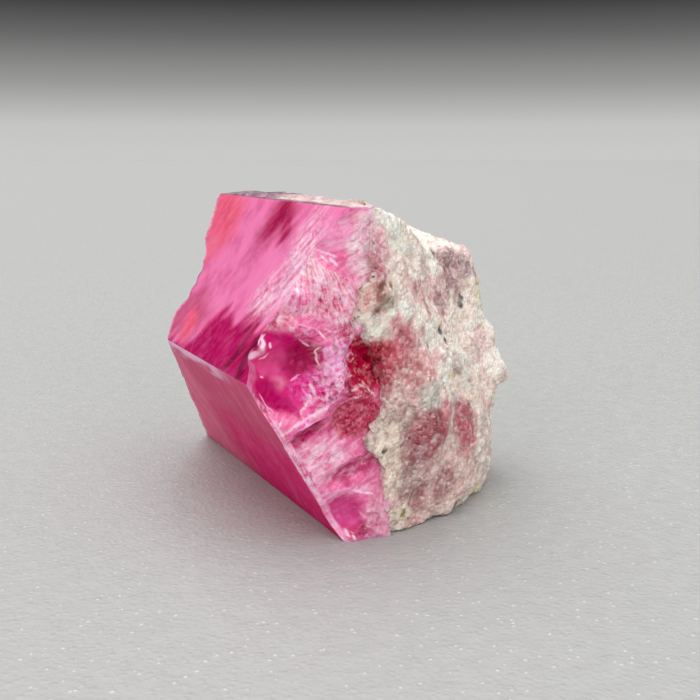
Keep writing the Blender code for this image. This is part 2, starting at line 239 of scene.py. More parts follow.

# Fine strokes on the break, drawn over everything else: kind, and the places (x, z) each runs through.
# The gold strokes are painted golden glints, and the white and pink ones along the bevel painted highlights.
BREAK_STROKES = (
    ("bold", (-0.594, 1.030), (-0.577, 0.955), (-0.588, 0.892)),
    ("white", (-0.466, 1.093), (-0.467, 1.042)),
    ("bold", (-0.467, 1.042), (-0.488, 1.004), (-0.491, 0.951)),
    ("cream", (-0.607, 1.033), (-0.619, 1.007), (-0.613, 0.973), (-0.605, 0.936)),
    ("dark", (-0.601, 1.006), (-0.594, 0.956)),
    ("cream", (-0.561, 0.909), (-0.531, 0.898)),
    ("cream", (-0.486, 0.875), (-0.437, 0.870)),
    ("white", (-0.512, 0.863), (-0.549, 0.799)),
    ("dark", (-0.468, 0.838), (-0.509, 0.804)),
    ("white", (-0.837, 0.587), (-0.767, 0.638), (-0.690, 0.675), (-0.581, 0.744)),
    ("bold", (-0.581, 0.744), (-0.520, 0.775)),
    ("pink", (-0.766, 0.602), (-0.664, 0.661), (-0.581, 0.701)),
    ("pink", (-0.721, 0.839), (-0.682, 0.874)),
    ("pink", (-0.630, 0.884), (-0.603, 0.904)),
    ("pink", (-0.562, 0.934), (-0.581, 0.872)),
    ("pink", (-0.624, 0.875), (-0.610, 0.845)),
    ("pink", (-0.678, 0.815), (-0.664, 0.771)),
    ("white", (-0.622, 0.772), (-0.599, 0.763)),
    ("white", (-0.654, 0.784), (-0.651, 0.767)),
    ("pink", (-0.583, 0.840), (-0.559, 0.878)),
    ("pink", (-0.583, 0.871), (-0.592, 0.802)),
    ("white", (-0.854, 1.089), (-0.878, 1.064), (-0.903, 1.042)),
    ("white", (-0.830, 1.049), (-0.832, 1.020)),
    ("white", (-0.870, 0.961), (-0.840, 0.991)),
    ("cream", (-0.882, 0.873), (-0.861, 0.866)),
    ("cream", (-0.845, 0.635), (-0.827, 0.665)),
    ("pink", (-0.878, 0.738), (-0.851, 0.711)),
    ("pink", (-0.908, 0.800), (-0.878, 0.738)),
    ("cream", (-0.459, 0.800), (-0.421, 0.819), (-0.369, 0.824)),
    ("cream", (-0.370, 0.816), (-0.358, 0.792), (-0.329, 0.765)),
    ("cream", (-0.452, 0.773), (-0.426, 0.766)),
    # Gold strokes: painted golden glints in the pit.
    ("gold", (-0.422, 0.906), (-0.407, 0.881)),
    ("gold", (-0.299, 0.886), (-0.286, 0.850)),
    ("gold", (-0.318, 0.938), (-0.316, 0.909)),
    ("gold", (-0.275, 0.947), (-0.267, 0.923)),
    ("gold", (-0.323, 0.979), (-0.288, 0.969)),
    ("gold", (-0.354, 1.055), (-0.346, 1.036)),
    ("gold", (-0.384, 1.045), (-0.373, 1.036)),
    ("gold", (-0.393, 0.848), (-0.373, 0.836)),
    ("gold", (-0.306, 0.839), (-0.300, 0.816)),
    ("gold", (-0.364, 0.916), (-0.350, 0.906)),
    ("gold", (-0.338, 1.009), (-0.325, 0.991)),
    ("gold", (-0.269, 0.846), (-0.261, 0.814)),
    ("gold", (-0.452, 1.075), (-0.412, 1.056)),
    ("gold", (-0.398, 0.892), (-0.387, 0.870)),
    ("dark", (-0.579, 0.945), (-0.565, 0.939)),
    ("dark", (-0.586, 0.870), (-0.590, 0.886)),
    ("dark", (-0.607, 0.816), (-0.601, 0.786)),
    ("dark", (-0.685, 0.753), (-0.683, 0.724)),
    ("dark", (-0.566, 0.855), (-0.578, 0.826)),
    ("glass", (-0.450, 0.993), (-0.424, 0.977), (-0.448, 0.942), (-0.475, 0.976), (-0.450, 0.993)),
    ("pink", (-0.725, 1.154), (-0.640, 1.129), (-0.589, 1.071)),
    ("cream", (-0.625, 1.118), (-0.593, 1.076)),
    ("pink", (-0.704, 1.072), (-0.648, 1.033)),
    ("cream", (-0.679, 1.050), (-0.646, 1.027)),
    ("white", (-0.641, 1.532), (-0.591, 1.513), (-0.531, 1.484)),
    ("white", (-0.593, 1.491), (-0.570, 1.461)),
    ("white", (-0.559, 1.483), (-0.533, 1.440)),
    ("pink", (-0.689, 1.372), (-0.646, 1.356), (-0.597, 1.350)),
    ("white", (-0.588, 1.355), (-0.514, 1.302), (-0.505, 1.274)),
    ("white", (-0.658, 1.322), (-0.642, 1.279), (-0.633, 1.236)),
    ("pink", (-0.633, 1.236), (-0.636, 1.208), (-0.694, 1.197), (-0.746, 1.216)),
    ("pink", (-0.497, 1.346), (-0.430, 1.372)),
    ("pink", (-0.633, 1.176), (-0.593, 1.167), (-0.551, 1.182), (-0.488, 1.190)),
    ("pink", (-0.593, 1.126), (-0.563, 1.106), (-0.533, 1.115)),
    ("dark", (-0.623, 1.280), (-0.599, 1.257)),
    ("dark", (-0.565, 1.257), (-0.543, 1.227)),
    ("dark", (-0.736, 1.459), (-0.726, 1.418)),
    ("dark", (-0.739, 1.389), (-0.752, 1.351)),
    ("pink", (-0.594, 0.200), (-0.553, 0.224), (-0.529, 0.260), (-0.468, 0.278), (-0.391, 0.266)),
    ("dark", (-0.545, 0.202), (-0.517, 0.229), (-0.471, 0.252)),
    ("pink", (-0.619, 0.254), (-0.561, 0.274), (-0.469, 0.290)),
    ("white", (-0.438, 0.268), (-0.385, 0.252), (-0.342, 0.246)),
    ("pink", (-0.402, 0.145), (-0.377, 0.110), (-0.343, 0.056)),
    ("white", (-0.476, 0.063), (-0.474, 0.030)),
    ("gold", (-0.452, 0.056), (-0.452, 0.039)),
    ("white", (-0.455, 0.030), (-0.446, 0.009)),
    ("white", (-0.365, 0.069), (-0.354, 0.057)),
    ("white", (-0.519, 0.438), (-0.509, 0.430)),
    ("white", (-0.778, 0.500), (-0.769, 0.492)),
    ("white", (-0.757, 0.512), (-0.752, 0.484)),
    ("white", (-0.645, 0.426), (-0.634, 0.414)),
    ("white", (-0.683, 0.337), (-0.671, 0.349)),
    ("bold", (-0.631, 0.871), (-0.613, 0.845)),
    ("bold", (-0.587, 0.854), (-0.568, 0.875)),
    ("bold", (-0.579, 0.946), (-0.591, 0.892)),
    ("white", (-0.601, 0.774), (-0.577, 0.807)),
    ("bold", (-0.581, 0.893), (-0.553, 0.952)),
    ("white", (-0.658, 0.355), (-0.645, 0.346)),
    ("white", (-0.598, 0.225), (-0.591, 0.232)),
    ("pink", (-0.571, 0.488), (-0.525, 0.525), (-0.481, 0.541)),
    ("pink", (-0.667, 0.401), (-0.614, 0.450), (-0.567, 0.488)),
    # Along the bevel: the white strokes and the pink one are painted highlights.
    ("white", (-0.791, 0.462), (-0.733, 0.377)),
    ("white", (-0.708, 0.328), (-0.687, 0.282)),
    ("white", (-0.656, 0.205), (-0.624, 0.153)),
    ("pink", (-0.594, 0.110), (-0.555, 0.054)),
    ("dark", (-0.811, 0.525), (-0.770, 0.455)),
    ("dark", (-0.739, 0.399), (-0.703, 0.332)),
    ("dark", (-0.646, 0.232), (-0.613, 0.173)),
)
# Each kind's half width, colour and milkiness.
STROKE_KINDS = {
    "bold": (0.0095, (1.00, 0.74, 0.92), 1.0),
    # white: pale cracks, and painted highlights along the bevel.
    "white": (0.0070, (1.00, 0.89, 0.95), 1.0),
    "cream": (0.0052, (1.00, 0.90, 0.90), 1.0),
    "pink": (0.0055, (1.00, 0.68, 0.86), 1.0),
    # gold: painted golden glints.
    "gold": (0.0038, (1.00, 0.82, 0.76), 1.0),
    "dark": (0.0062, (0.80, 0.10, 0.42), 0.9),
    "glass": (0.0045, (0.96, 0.82, 0.84), 1.0),
}

# Areas of the upper left prism face, as above but over y and the distance up from the left edge.
UPPER_FACE_AREAS = (
    ("salmon", 1.78, 0.78, 0.42, 0.28, 0.0, 0.35),
    ("rosy", 1.45, 0.20, 0.40, 0.16, 0.0, 0.50),
    ("frosted", 0.20, 0.66, 0.17, 0.30, -15.0, 0.60),
    ("frosted", 0.32, 0.47, 0.20, 0.13, -20.0, 0.60),
    ("dark", 0.76, 0.93, 0.190, 0.090, 0.0, 0.70),
    ("dark", 0.82, 0.84, 0.130, 0.140, 0.0, 0.80),
    ("dark", 0.62, 0.86, 0.075, 0.100, 0.0, 0.80),
    # glow: a light salmon patch near the left edge towards the far end, a painted highlight.
    ("glow", 1.30, 0.13, 0.110, 0.085, 0.0, 0.50),
    ("foot_dark", 0.40, 0.14, 0.180, 0.045, 118.0, 0.40),
    ("foot_dark", 0.20, 0.12, 0.150, 0.040, 112.0, 0.40),
)
# Where the clear foot of that face ends: y, and the distance up from the left edge.
CLEAR_FOOT = (
    (0.00, 0.28),
    (0.20, 0.30),
    (0.37, 0.35),
    (0.52, 0.27),
    (0.82, 0.29),
    (1.02, 0.20),
    (1.12, 0.08),
    (1.30, 0.00),
)

# Shells of the far end, as on the break, and its areas.
REAR_SHELLS = (
    ("upper_shell", -0.560, 1.480, 0.230, 0.200, 0.050, 20.0, 0.0050),
    ("middle_shell", -0.760, 0.700, 0.210, 0.160, 0.045, -30.0, 0.0040),
    ("lower_shell", -0.500, 0.330, 0.190, 0.230, 0.040, 10.0, 0.0040),
    ("side_shell", -0.370, 1.020, 0.150, 0.210, 0.035, 0.0, 0.0030),
)
REAR_AREAS = (
    ("deep", -0.640, 0.600, 0.260, 0.330, 24.0, 0.60),
    ("deep", -0.420, 1.080, 0.120, 0.260, -10.0, 0.60),
    ("milky", -0.480, 1.480, 0.260, 0.220, 0.0, 0.60),
    ("milky", -0.420, 0.180, 0.240, 0.160, 0.0, 0.60),
    ("bite", -0.860, 1.200, 0.400, 0.330, 0.0, 0.10),
    ("bite_deep", -0.740, 1.160, 0.150, 0.140, 20.0, 0.60),
)

# Finish of each area: name, colour as seen on a screen, milkiness.
BREAK_TINTS = (
    ("facet", (1.00, 0.64, 0.81), 0.80),
    ("upper", (1.00, 0.89, 0.92), 1.00),
    ("fan", (1.00, 0.84, 0.88), 1.00),
    ("pebble", (0.98, 0.62, 0.79), 0.85),
    ("lip", (0.88, 0.34, 0.58), 0.75),
    ("fan_rose", (0.96, 0.54, 0.68), 0.90),
    ("fan_spot", (0.88, 0.28, 0.48), 0.80),
    ("hollow", (0.96, 0.04, 0.54), 0.35),
    # Lighter pink in the hollow: partly milky haze, partly painted sheen.
    ("hollow_haze_and_sheen", (0.96, 0.36, 0.64), 0.65),
    ("hollow_mist", (0.92, 0.52, 0.66), 0.75),
    ("hollow_dark", (0.76, 0.00, 0.35), 0.45),
    ("hollow_low", (0.92, 0.00, 0.50), 0.20),
    ("rim", (0.92, 0.56, 0.74), 0.70),
    # Painted glints on the hollow's rim.
    ("painted_glint", (1.00, 0.94, 0.98), 1.00),
    ("chaos", (1.00, 0.24, 0.68), 0.70),
    ("web", (1.00, 0.68, 0.87), 0.90),
    ("web_dark", (0.84, 0.34, 0.52), 0.75),
    ("vein", (1.00, 0.92, 0.96), 1.00),
    ("pit", (0.88, 0.00, 0.32), 0.60),
    ("window", (0.72, 0.00, 0.30), 0.55),
    ("crest", (0.97, 0.32, 0.67), 0.80),
    ("seam", (0.82, 0.52, 0.60), 0.90),
    ("grain", (0.76, 0.20, 0.38), 0.60),
    ("rose", (0.74, 0.17, 0.32), 0.85),
    ("streak", (0.85, 0.06, 0.46), 0.40),
    ("pale", (1.00, 0.76, 0.85), 0.95),
    ("band", (0.82, 0.28, 0.50), 0.65),
    ("brow", (0.94, 0.62, 0.76), 0.80),
    ("tip", (0.92, 0.31, 0.61), 0.60),
    ("tip_low", (0.80, 0.16, 0.42), 0.60),
    ("fold", (0.92, 0.60, 0.71), 0.85),
    ("bevel", (1.00, 0.64, 0.80), 0.90),
    ("bevel_deep", (0.78, 0.10, 0.42), 0.60),
)
UPPER_FACE_TINTS = (
    ("salmon", (0.97, 0.40, 0.54), 0.95),
    ("rosy", (0.82, 0.34, 0.52), 0.90),
    ("frosted", (1.00, 0.70, 0.83), 1.00),
    ("foot", (0.92, 0.00, 0.48), 0.25),
    ("foot_dark", (0.70, 0.00, 0.34), 0.15),
    ("dark", (0.80, 0.00, 0.36), 0.40),
    # glow: painted highlight.
    ("glow", (0.99, 0.42, 0.56), 0.95),
)
LOWER_FACE_TINTS = (
    ("tail", (0.92, 0.42, 0.56), 0.80),
    # grey: painted reflection of the floor over the face's pink.
    ("grey", (0.84, 0.30, 0.47), 1.00),
    ("low", (0.88, 0.00, 0.42), 1.00),
    # edge: painted highlight along the left edge.
    ("edge", (1.00, 0.78, 0.91), 0.95),
)
REAR_TINTS = (
    ("deep", (0.86, 0.06, 0.42), 0.55),
    ("milky", (0.98, 0.62, 0.76), 0.95),
    ("bite", (0.96, 0.44, 0.66), 0.85),
    ("bite_deep", (0.84, 0.12, 0.46), 0.60),
)
# Milkiness and colours where no area is laid over them.
PLAIN_MILK = 0.85
BREAK_COLOUR = (0.94, 0.46, 0.67)
UPPER_FACE_COLOUR = (0.98, 0.50, 0.72)
LOWER_FACE_COLOUR = (0.80, 0.28, 0.45)
REAR_COLOUR = (0.90, 0.42, 0.60)
# The crystal's narrow top: bare along its edge, crusted towards the rock, and greyer at the far end.
TOP_BARE = (0.46, 0.24, 0.34)
TOP_FAR_GREY = (0.56, 0.44, 0.49)
TOP_CRUSTED = (0.92, 0.84, 0.80)
GRAIN_LIGHT = (1.00, 0.88, 0.93)
# How much of each colour the dark grains take away.
GRAIN_SINK = (0.30, 0.88, 0.60)


def to_row(points):
    """Points from hexagon sides in the crystal's frame to metres in the row frame."""
    low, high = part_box("beryl_crystal")
    offset = np.array((low[0] + SIDE, high[1] - BASAL_END * SIDE, low[2]))
    return points * SIDE + offset


# ---------------------------------------------------------------- noise and grids


def smooth_step(low, high, value):
    """0 below low, 1 above high and 3t^2 - 2t^3 between them, t being the share of the way."""
    t = np.clip((value - low) / (high - low), 0.0, 1.0)
    return t * t * (3.0 - 2.0 * t)


def lattice_noise(points, cell, seed):
    """Smooth noise from -1 to 1: random values on a cubic lattice of that cell, blended between corners."""
    size = 32
    table = np.random.default_rng(seed).uniform(-1.0, 1.0, (size, size, size))
    scaled = points / cell + size / 2
    low = np.floor(scaled).astype(int)
    part = scaled - low
    part = part * part * (3.0 - 2.0 * part)
    total = np.zeros(points.shape[:-1])
    for corner in np.ndindex(2, 2, 2):
        index = (low + corner) % size
        weight = np.prod(np.where(corner, part, 1.0 - part), axis=-1)
        total += weight * table[index[..., 0], index[..., 1], index[..., 2]]
    return total


def flat_noise(u, v, cell_u, cell_v, seed):
    """Smooth noise over a plane, with its own cell size along u and along v."""
    slice_height = 0.37
    points = np.stack([u / cell_u, v / cell_v, np.full_like(u, slice_height)], -1)
    return lattice_noise(points, 1.0, seed)


def noise_layers(u, v, layers):
    """Smooth noise over a plane in layers, each by its weight, its two cell sizes and its seed, added up."""
    return sum(weight * flat_noise(u, v, *layer) for weight, *layer in layers)


def grains(points, cell, seed):
    """The nearest grain of a jittered lattice: distance to its centre, offset from it, and its random traits.

    Distance and offset are in cells, and each of the three traits runs from -1 to 1. Works in a plane or in
    space, by the last axis of points.
    """
    dims = points.shape[-1]
    size = 24
    rng = np.random.default_rng(seed)
    jitter = rng.uniform(0.08, 0.92, (size,) * dims + (dims,))
    traits = rng.uniform(-1.0, 1.0, (size,) * dims + (3,))
    scaled = points / cell
    low = np.floor(scaled).astype(int)
    nearest = np.full(points.shape[:-1], np.inf)
    away = np.zeros(points.shape)
    trait = np.zeros(points.shape[:-1] + (3,))
    for step in np.ndindex(*(3,) * dims):
        corner = low + np.array(step) - 1
        index = tuple(np.moveaxis(corner % size, -1, 0))
        offset = scaled - corner - jitter[index]
        distance = np.linalg.norm(offset, axis=-1)
        closer = distance < nearest
        nearest = np.where(closer, distance, nearest)
        away = np.where(closer[..., None], offset, away)
        trait = np.where(closer[..., None], traits[index], trait)
    return nearest, away, trait


def facets(u, v, cell, tilt, seed):
    """Relief of flat facets: each grain of the plane is its own plane, tilted at random."""
    _, away, trait = grains(np.stack([u, v], -1), cell, seed)
    return tilt * cell * (away[..., 0] * trait[..., 0] + away[..., 1] * trait[..., 1])


def turned(u, v, degrees):
    """Coordinates along and across a direction that is turned up from u towards v."""
    angle = math.radians(degrees)
    return u * math.cos(angle) + v * math.sin(angle), v * math.cos(angle) - u * math.sin(angle)


def local(u, v, middle_u, middle_v, half_u, half_v, turn):
    """Coordinates over an ellipse, 1 at its edge, with u turned up towards v by that many degrees."""
    along, across = turned(u - middle_u, v - middle_v, turn)
    return along / half_u, across / half_v


def patch(u, v, middle_u, middle_v, half_u, half_v, turn, soft):
    """1 inside an ellipse and 0 outside it, with an edge that is soft by that share of its size."""
    along, across = local(u, v, middle_u, middle_v, half_u, half_v, turn)
    return 1.0 - smooth_step(1.0 - soft, 1.0 + soft, np.hypot(along, across))


def area_masks(table, u, v):
    """Each area of a table, by name, as a mask over (u, v): the largest of the patches in its rows."""
    areas = {}
    for name, *ellipse in table:
        areas[name] = np.maximum(areas.get(name, 0.0), patch(u, v, *ellipse))
    return areas


def ring_faces(ring, bands):
    """Faces over rings of points after one at a pole: the fan round it, and that many bands of quads."""
    across = np.arange(ring)
    after = (across + 1) % ring
    start = 1 + ring * np.arange(bands)[:, None]
    quads = np.stack([start + across, start + ring + across, start + ring + after, start + after], -1)
    fan = np.stack([np.zeros(ring, int), 1 + across, 1 + after], -1)
    return fan, quads.reshape(-1, 4)


def poles_and_rings(values):
    """Values of the shape (rows, ring, ...) as one list: the first pole, every ring, and the last pole."""
    return np.concatenate([values[0, :1], values[1:-1].reshape(-1, *values.shape[2:]), values[-1, :1]])


def closed_grid(name, rows, masks, sharp_degrees):
    """A closed skin over rows of points that run from one pole to the other; each row is a ring.

    rows has the shape (rows, ring, 3), and its first and last rows are each one point repeated. masks maps a
    name to values of the shape (rows, ring) or (rows, ring, 3), kept as a point attribute.
    """
    count, ring = rows.shape[:2]
    bands = count - 3
    points = poles_and_rings(rows)
    first_fan, quads = ring_faces(ring, bands)
    pole = np.full(ring, len(points) - 1)
    last_fan = np.stack([pole, ring * bands + first_fan[:, 2], ring * bands + first_fan[:, 1]], -1)
    corners = np.concatenate([first_fan.ravel(), quads.ravel(), last_fan.ravel()])
    sizes = np.concatenate([np.full(ring, 3), np.full(len(quads), 4), np.full(ring, 3)])
    starts = np.concatenate([[0], np.cumsum(sizes)[:-1]])
    mesh = bpy.data.meshes.new(name)
    mesh.vertices.add(len(points))
    mesh.vertices.foreach_set("co", to_row(points).ravel())
    mesh.loops.add(len(corners))
    mesh.loops.foreach_set("vertex_index", corners)
    mesh.polygons.add(len(sizes))
    mesh.polygons.foreach_set("loop_start", starts)
    mesh.update(calc_edges=True)
    for key, values in masks.items():
        kind, field = {2: ("FLOAT", "value"), 3: ("FLOAT_VECTOR", "vector")}[values.ndim]
        layer = mesh.attributes.new(key, kind, "POINT")
        layer.data.foreach_set(field, poles_and_rings(values).astype(np.float32).ravel())
    mesh.validate()
    mesh.shade_smooth()
    mesh.set_sharp_from_angle(angle=math.radians(sharp_degrees))
    piece = bpy.data.objects.new(name, mesh)
    bpy.context.scene.collection.objects.link(piece)
    return piece


# ---------------------------------------------------------------- the crystal's shape


def plane_y(corners, x, z):
    """The y of the plane through three places, over (x, z)."""
    a, b, c = (np.array(corner) for corner in corners)
    normal = np.cross(b - a, c - a)
    return a[1] - (normal[0] * (x - a[0]) + normal[2] * (z - a[2])) / normal[1]


def contact_x(y, z):
    """The x of the flat contact with the rock."""
    return CONTACT_POINT[0] - (CONTACT_NORMAL[1] * y + CONTACT_NORMAL[2] * (z - CONTACT_POINT[2]))


def form_height(x, z):
    """How far back the break lies: the named places' values, weighted by 1 / (1 + (distance / reach)^2)^2."""
    total = np.full_like(x, 1e-9)
    weighed = np.zeros_like(x)
    for _, at_x, at_z, reach, back in BREAK_FORM:
        square = ((x - at_x) ** 2 + (z - at_z) ** 2) / reach**2
        weight = 1.0 / (1.0 + square) ** 2
        total += weight
        weighed += weight * back
    return weighed / total


def seen_from(place, x, z):
    """Angle and distance of (x, z) from a place."""
    return np.arctan2(z - place[1], x - place[0]), np.hypot(x - place[0], z - place[1])


def off_lower_face(x, z):
    """How far inside the lower left prism face a place of the cross-section lies."""
    return (x + 1.0) * ROOT3 / 2 + (z - ROOT3 / 2) / 2


def under_left_corner(z):
    """1 over the lower left prism face's height, fading to 0 just below the left edge."""
    return 1.0 - smooth_step(0.74, 0.80, z)


def break_areas(x, z):
    """Each area of the break by name, as a mask from 0 to 1 whose edge is drawn ragged by noise."""
    ragged_x = x + noise_layers(x, z, AREA_WOBBLE_X)
    ragged_z = z + noise_layers(x, z, AREA_WOBBLE_Z)
    areas = area_masks(BREAK_AREAS, ragged_x, ragged_z)
    from_edge = off_lower_face(x, z) + 0.008 * flat_noise(x, z, 0.06, 0.06, 55)
    areas["bevel"] = (1.0 - smooth_step(*BEVEL_FADE, from_edge)) * under_left_corner(z)
    return areas


def break_relief(x, z):
    """Fine relief of the break, area by area: fanned fibres, facets, slanting lines, chips and the bevel."""
    masks = break_areas(x, z)
    angle, distance = seen_from(FAN_HEAD, x, z)
    fan = 0.0090 * noise_layers(angle, distance, FAN_FIBRES)
    fan = fan + 0.5 * facets(x, z, 0.060, 0.35, 73) + 0.5 * facets(x, z, 0.030, 0.45, 74)
    pit = facets(x, z, 0.055, 0.85, 75) + facets(x, z, 0.026, 0.70, 76)
    shattered = 0.6 * facets(x, z, 0.055, 0.70, 77) + 0.8 * facets(x, z, 0.024, 0.90, 78)
    lines = noise_layers(*turned(x, z, LINES_SLANT), SLANTING_LINES)
    striped = sum(masks[name] for name in ("pale", "band", "rose", "brow", "crest"))
    folded = 0.008 * flat_noise(x, z, 0.03, 0.10, 82) + facets(x, z, 0.05, 0.3, 83)
    chipped = 0.009 * flat_noise(x, z, 0.045, 0.045, 84) + facets(x, z, 0.04, 0.35, 85)
    nicks = noise_layers(x, z, BEVEL_NICKS)
    bevel_depth = np.clip(BEVEL_FADE[1] + nicks - off_lower_face(x, z), 0.0, BEVEL_FADE[1])
    relief = masks["fan"] * fan + masks["pit"] * pit
    relief += np.clip(masks["chaos"] + 0.7 * masks["web"], 0, 1) * shattered
    relief += np.clip(striped, 0, 1) * (0.0045 * lines + 0.6 * facets(x, z, 0.045, 0.30, 81))
    relief += masks["fold"] * folded + masks["upper"] * chipped
    for height, *bump in BREAK_BUMPS:
        relief -= height * patch(x, z, *bump)
    relief += 0.55 * bevel_depth * under_left_corner(z)
    return relief + 0.0012 * flat_noise(x, z, 0.05, 0.05, 86)


def ripples(along, across, rippling, waver):
    """Waves from -1 to 1: the sine of so many radians a half width from their source, and of the waver."""
    radians, source_along, source_across = rippling
    return np.sin(radians * np.hypot(along - source_along, across - source_across) + waver)


def shells(table, x, z, rippling, waver):
    """Each shell of a table: its middle, where it acts, its hollow, depth (1 - r^2), and its waves."""
    for _, at_x, at_z, half_x, half_z, depth, turn, ripple in table:
        along, across = local(x, z, at_x, at_z, half_x, half_z, turn)
        square = along**2 + across**2
        waves = ripple * ripples(along, across, rippling, waver)
        yield (at_x, at_z), square < SHELL_REACH, depth * (1.0 - square), waves


def break_height(x, z):
    """The y of the break: its plane, the form, the shells cut into it, and the fine relief.

    A shell lies behind the form at its middle by its hollow and its waves. The deeper of it and what is there
    is kept, their join rounded: (a + b + sqrt((a - b)^2 + join^2)) / 2.
    """
    y = form_height(x, z)
    waver = 2.0 * flat_noise(x, z, 0.1, 0.1, 61)
    for middle, acts, hollow, waves in shells(BREAK_SHELLS, x, z, BREAK_RIPPLES, waver):
        mouth = form_height(*np.array(middle)[:, None])[0]
        shell = mouth + hollow + waves
        y = np.where(acts, 0.5 * (y + shell + np.hypot(y - shell, BREAK_JOIN)), y)
    return plane_y(BREAK_AT, x, z) + y + break_relief(x, z)


def bite_height(x, z):
    """The y of the bite out of the far end, an ellipsoid with ripples and facets, and where it is open."""
    dx = (x - BITE_MIDDLE[0]) / BITE_HALF[0]
    dz = (z - BITE_MIDDLE[2]) / BITE_HALF[2]
    inside = np.clip(1.0 - dx**2 - dz**2, 0.0, None)
    waves = 0.010 * ripples(dx, dz, BITE_RIPPLES, 2.5 * flat_noise(x, z, 0.15, 0.15, 97))
    relief = (waves + facets(x, z, 0.11, 0.22, 98)) * smooth_step(0.0, 0.3, inside)
    return BITE_MIDDLE[1] - BITE_HALF[1] * np.sqrt(inside) + relief, inside > 0


def rear_height(x, z):
    """The y of the far end: the flat basal face or the oblique break, whichever comes first, with its relief.

    The oblique break has facets, the basal face low growth steps round the prism's middle line. Shells are
    cut in as on the break but forwards from the plane, and then the bite.
    """
    plane = np.minimum(BASAL_END, plane_y(REAR_AT, x, z))
    broken = smooth_step(0.01, 0.08, BASAL_END - plane)
    away = np.maximum(np.abs(x), np.abs(0.5 * x) + np.abs(z - TOP / 2) * ROOT3 / 2)
    steps = 0.010 * np.round(away * 9.0 + 0.6 * flat_noise(x, z, 0.2, 0.2, 95)) / 9.0
    rough = 0.016 + facets(x, z, 0.26, 0.20, 91) + facets(x, z, 0.090, 0.30, 94)
    y = plane - (1.0 - broken) * steps - broken * np.clip(rough, 0.0, None)
    waver = 2.0 * flat_noise(x, z, 0.12, 0.12, 96)
    for _, acts, hollow, waves in shells(REAR_SHELLS, x, z, REAR_RIPPLES, waver):
        shell = plane - hollow + waves
        y = np.where(acts, 0.5 * (y + shell - np.hypot(y - shell, REAR_JOIN)), y)
    bite, bitten = bite_height(x, z)
    return np.where(bitten, np.minimum(y, bite), y)


def outline(share, y):
    """A point (x, z) of the crystal's cross-section at y, for a share from 0 to 1 of the way round it.

    The corners are the contact's upper end, the upper, left and lower left edges, and the contact's lower
    end. The share gives each of the five sides a fixed part of the ring, so an edge keeps its own grid line.
    """
    stops = np.array(CORNER_SHARES)
    edges = [np.full_like(y, edge) for edge in (-0.5, -1.0, -0.5)]
    corner_x = [contact_x(y, TOP), *edges, contact_x(y, 0.0), contact_x(y, TOP)]
    corner_z = [TOP, TOP, TOP / 2, 0.0, 0.0, TOP]
    side = np.clip(np.searchsorted(stops, share, side="right") - 1, 0, 4)
    part = (share - stops[side]) / (stops[side + 1] - stops[side])
    x = np.choose(side, corner_x[:5]) * (1 - part) + np.choose(side, corner_x[1:]) * part
    z = np.choose(side, corner_z[:5]) * (1 - part) + np.choose(side, corner_z[1:]) * part
    return x, z


def rim(share, start_y, height):
    """The line where an end of that height meets the sides: outline and height taken in turn, four times."""
    y = np.full_like(share, start_y)
    for _ in range(4):
        x, z = outline(share, y)
        y = height(x, z)
    return x, y, z


def end_cap(x, z, shares, height):
    """Rows of an end's surface: its rim (x, z) drawn in to CAP_MIDDLE by each of the shares."""
    cap_x = CAP_MIDDLE[0] + (x - CAP_MIDDLE[0]) * shares[:, None]
    cap_z = CAP_MIDDLE[1] + (z - CAP_MIDDLE[1]) * shares[:, None]
    return np.stack([cap_x, height(cap_x, cap_z), cap_z], -1)


def top_crust(x, y):
    """Height of the grainy crust on the crystal's narrow top: noise that fades out at its edges."""
    crusted = smooth_step(-0.47, -0.40, x + 0.03 * flat_noise(x, y, 0.06, 0.15, 92))
    crusted = crusted * smooth_step(0.0, 0.12, y) * (1.0 - smooth_step(1.6, 2.0, y))
    return crusted * (0.014 + 0.012 * flat_noise(x, y, 0.04, 0.06, 93))


def build_crystal():
    """The crystal, as its cross-section's outline carried from the break's middle to the far end's middle.

    Front rows shrink from the rim to the middle over the break's relief, side rows run along the prism
    faces, and rear rows shrink again over the far end.
    """
    share = np.arange(CRYSTAL_RING) / CRYSTAL_RING
    front_x, front_y, front_z = rim(share, 0.0, break_height)
    rear_x, rear_y, rear_z = rim(share, 2.0, rear_height)
    front = end_cap(front_x, front_z, np.linspace(0.0, 1.0, FRONT_ROWS), break_height)
    rear = end_cap(rear_x, rear_z, np.linspace(1.0, 0.0, REAR_ROWS), rear_height)
    along = np.linspace(0.0, 1.0, SIDE_ROWS + 2)[1:-1, None] ** SIDE_CROWDING
    y = front_y + (rear_y - front_y) * along
    x, z = outline(np.broadcast_to(share, y.shape), y)
    z = z + top_crust(x, y) * (z > TOP - ON_TOP)
    rows = np.concatenate([front, np.stack([x, y, z], -1), rear])
    return closed_grid("crystal_skin", rows, crystal_masks(rows), CRYSTAL_SHARP)


# ---------------------------------------------------------------- the crystal's paint


def shade(colour):
    """A screen colour as the linear values that shaders take: ((c + 0.055) / 1.055) ^ 2.4."""
    return ((np.array(colour) + 0.055) / 1.055) ** 2.4


def laid_over(tint, colour, share):
    """The tint with that share of a screen colour laid over it."""
    return tint + (shade(colour) - tint) * share[..., None]


def painted(areas, tints, colour):
    """Colour and milkiness, each area of the table laid over the ones before it by its mask."""
    some = next(iter(areas.values()))
    tint = np.broadcast_to(shade(colour), some.shape + (3,))
    milk = np.full(some.shape, PLAIN_MILK)
    for name, own_colour, own_milk in tints:
        tint = laid_over(tint, own_colour, areas[name])
        milk = milk + (own_milk - milk) * areas[name]
    return tint, milk


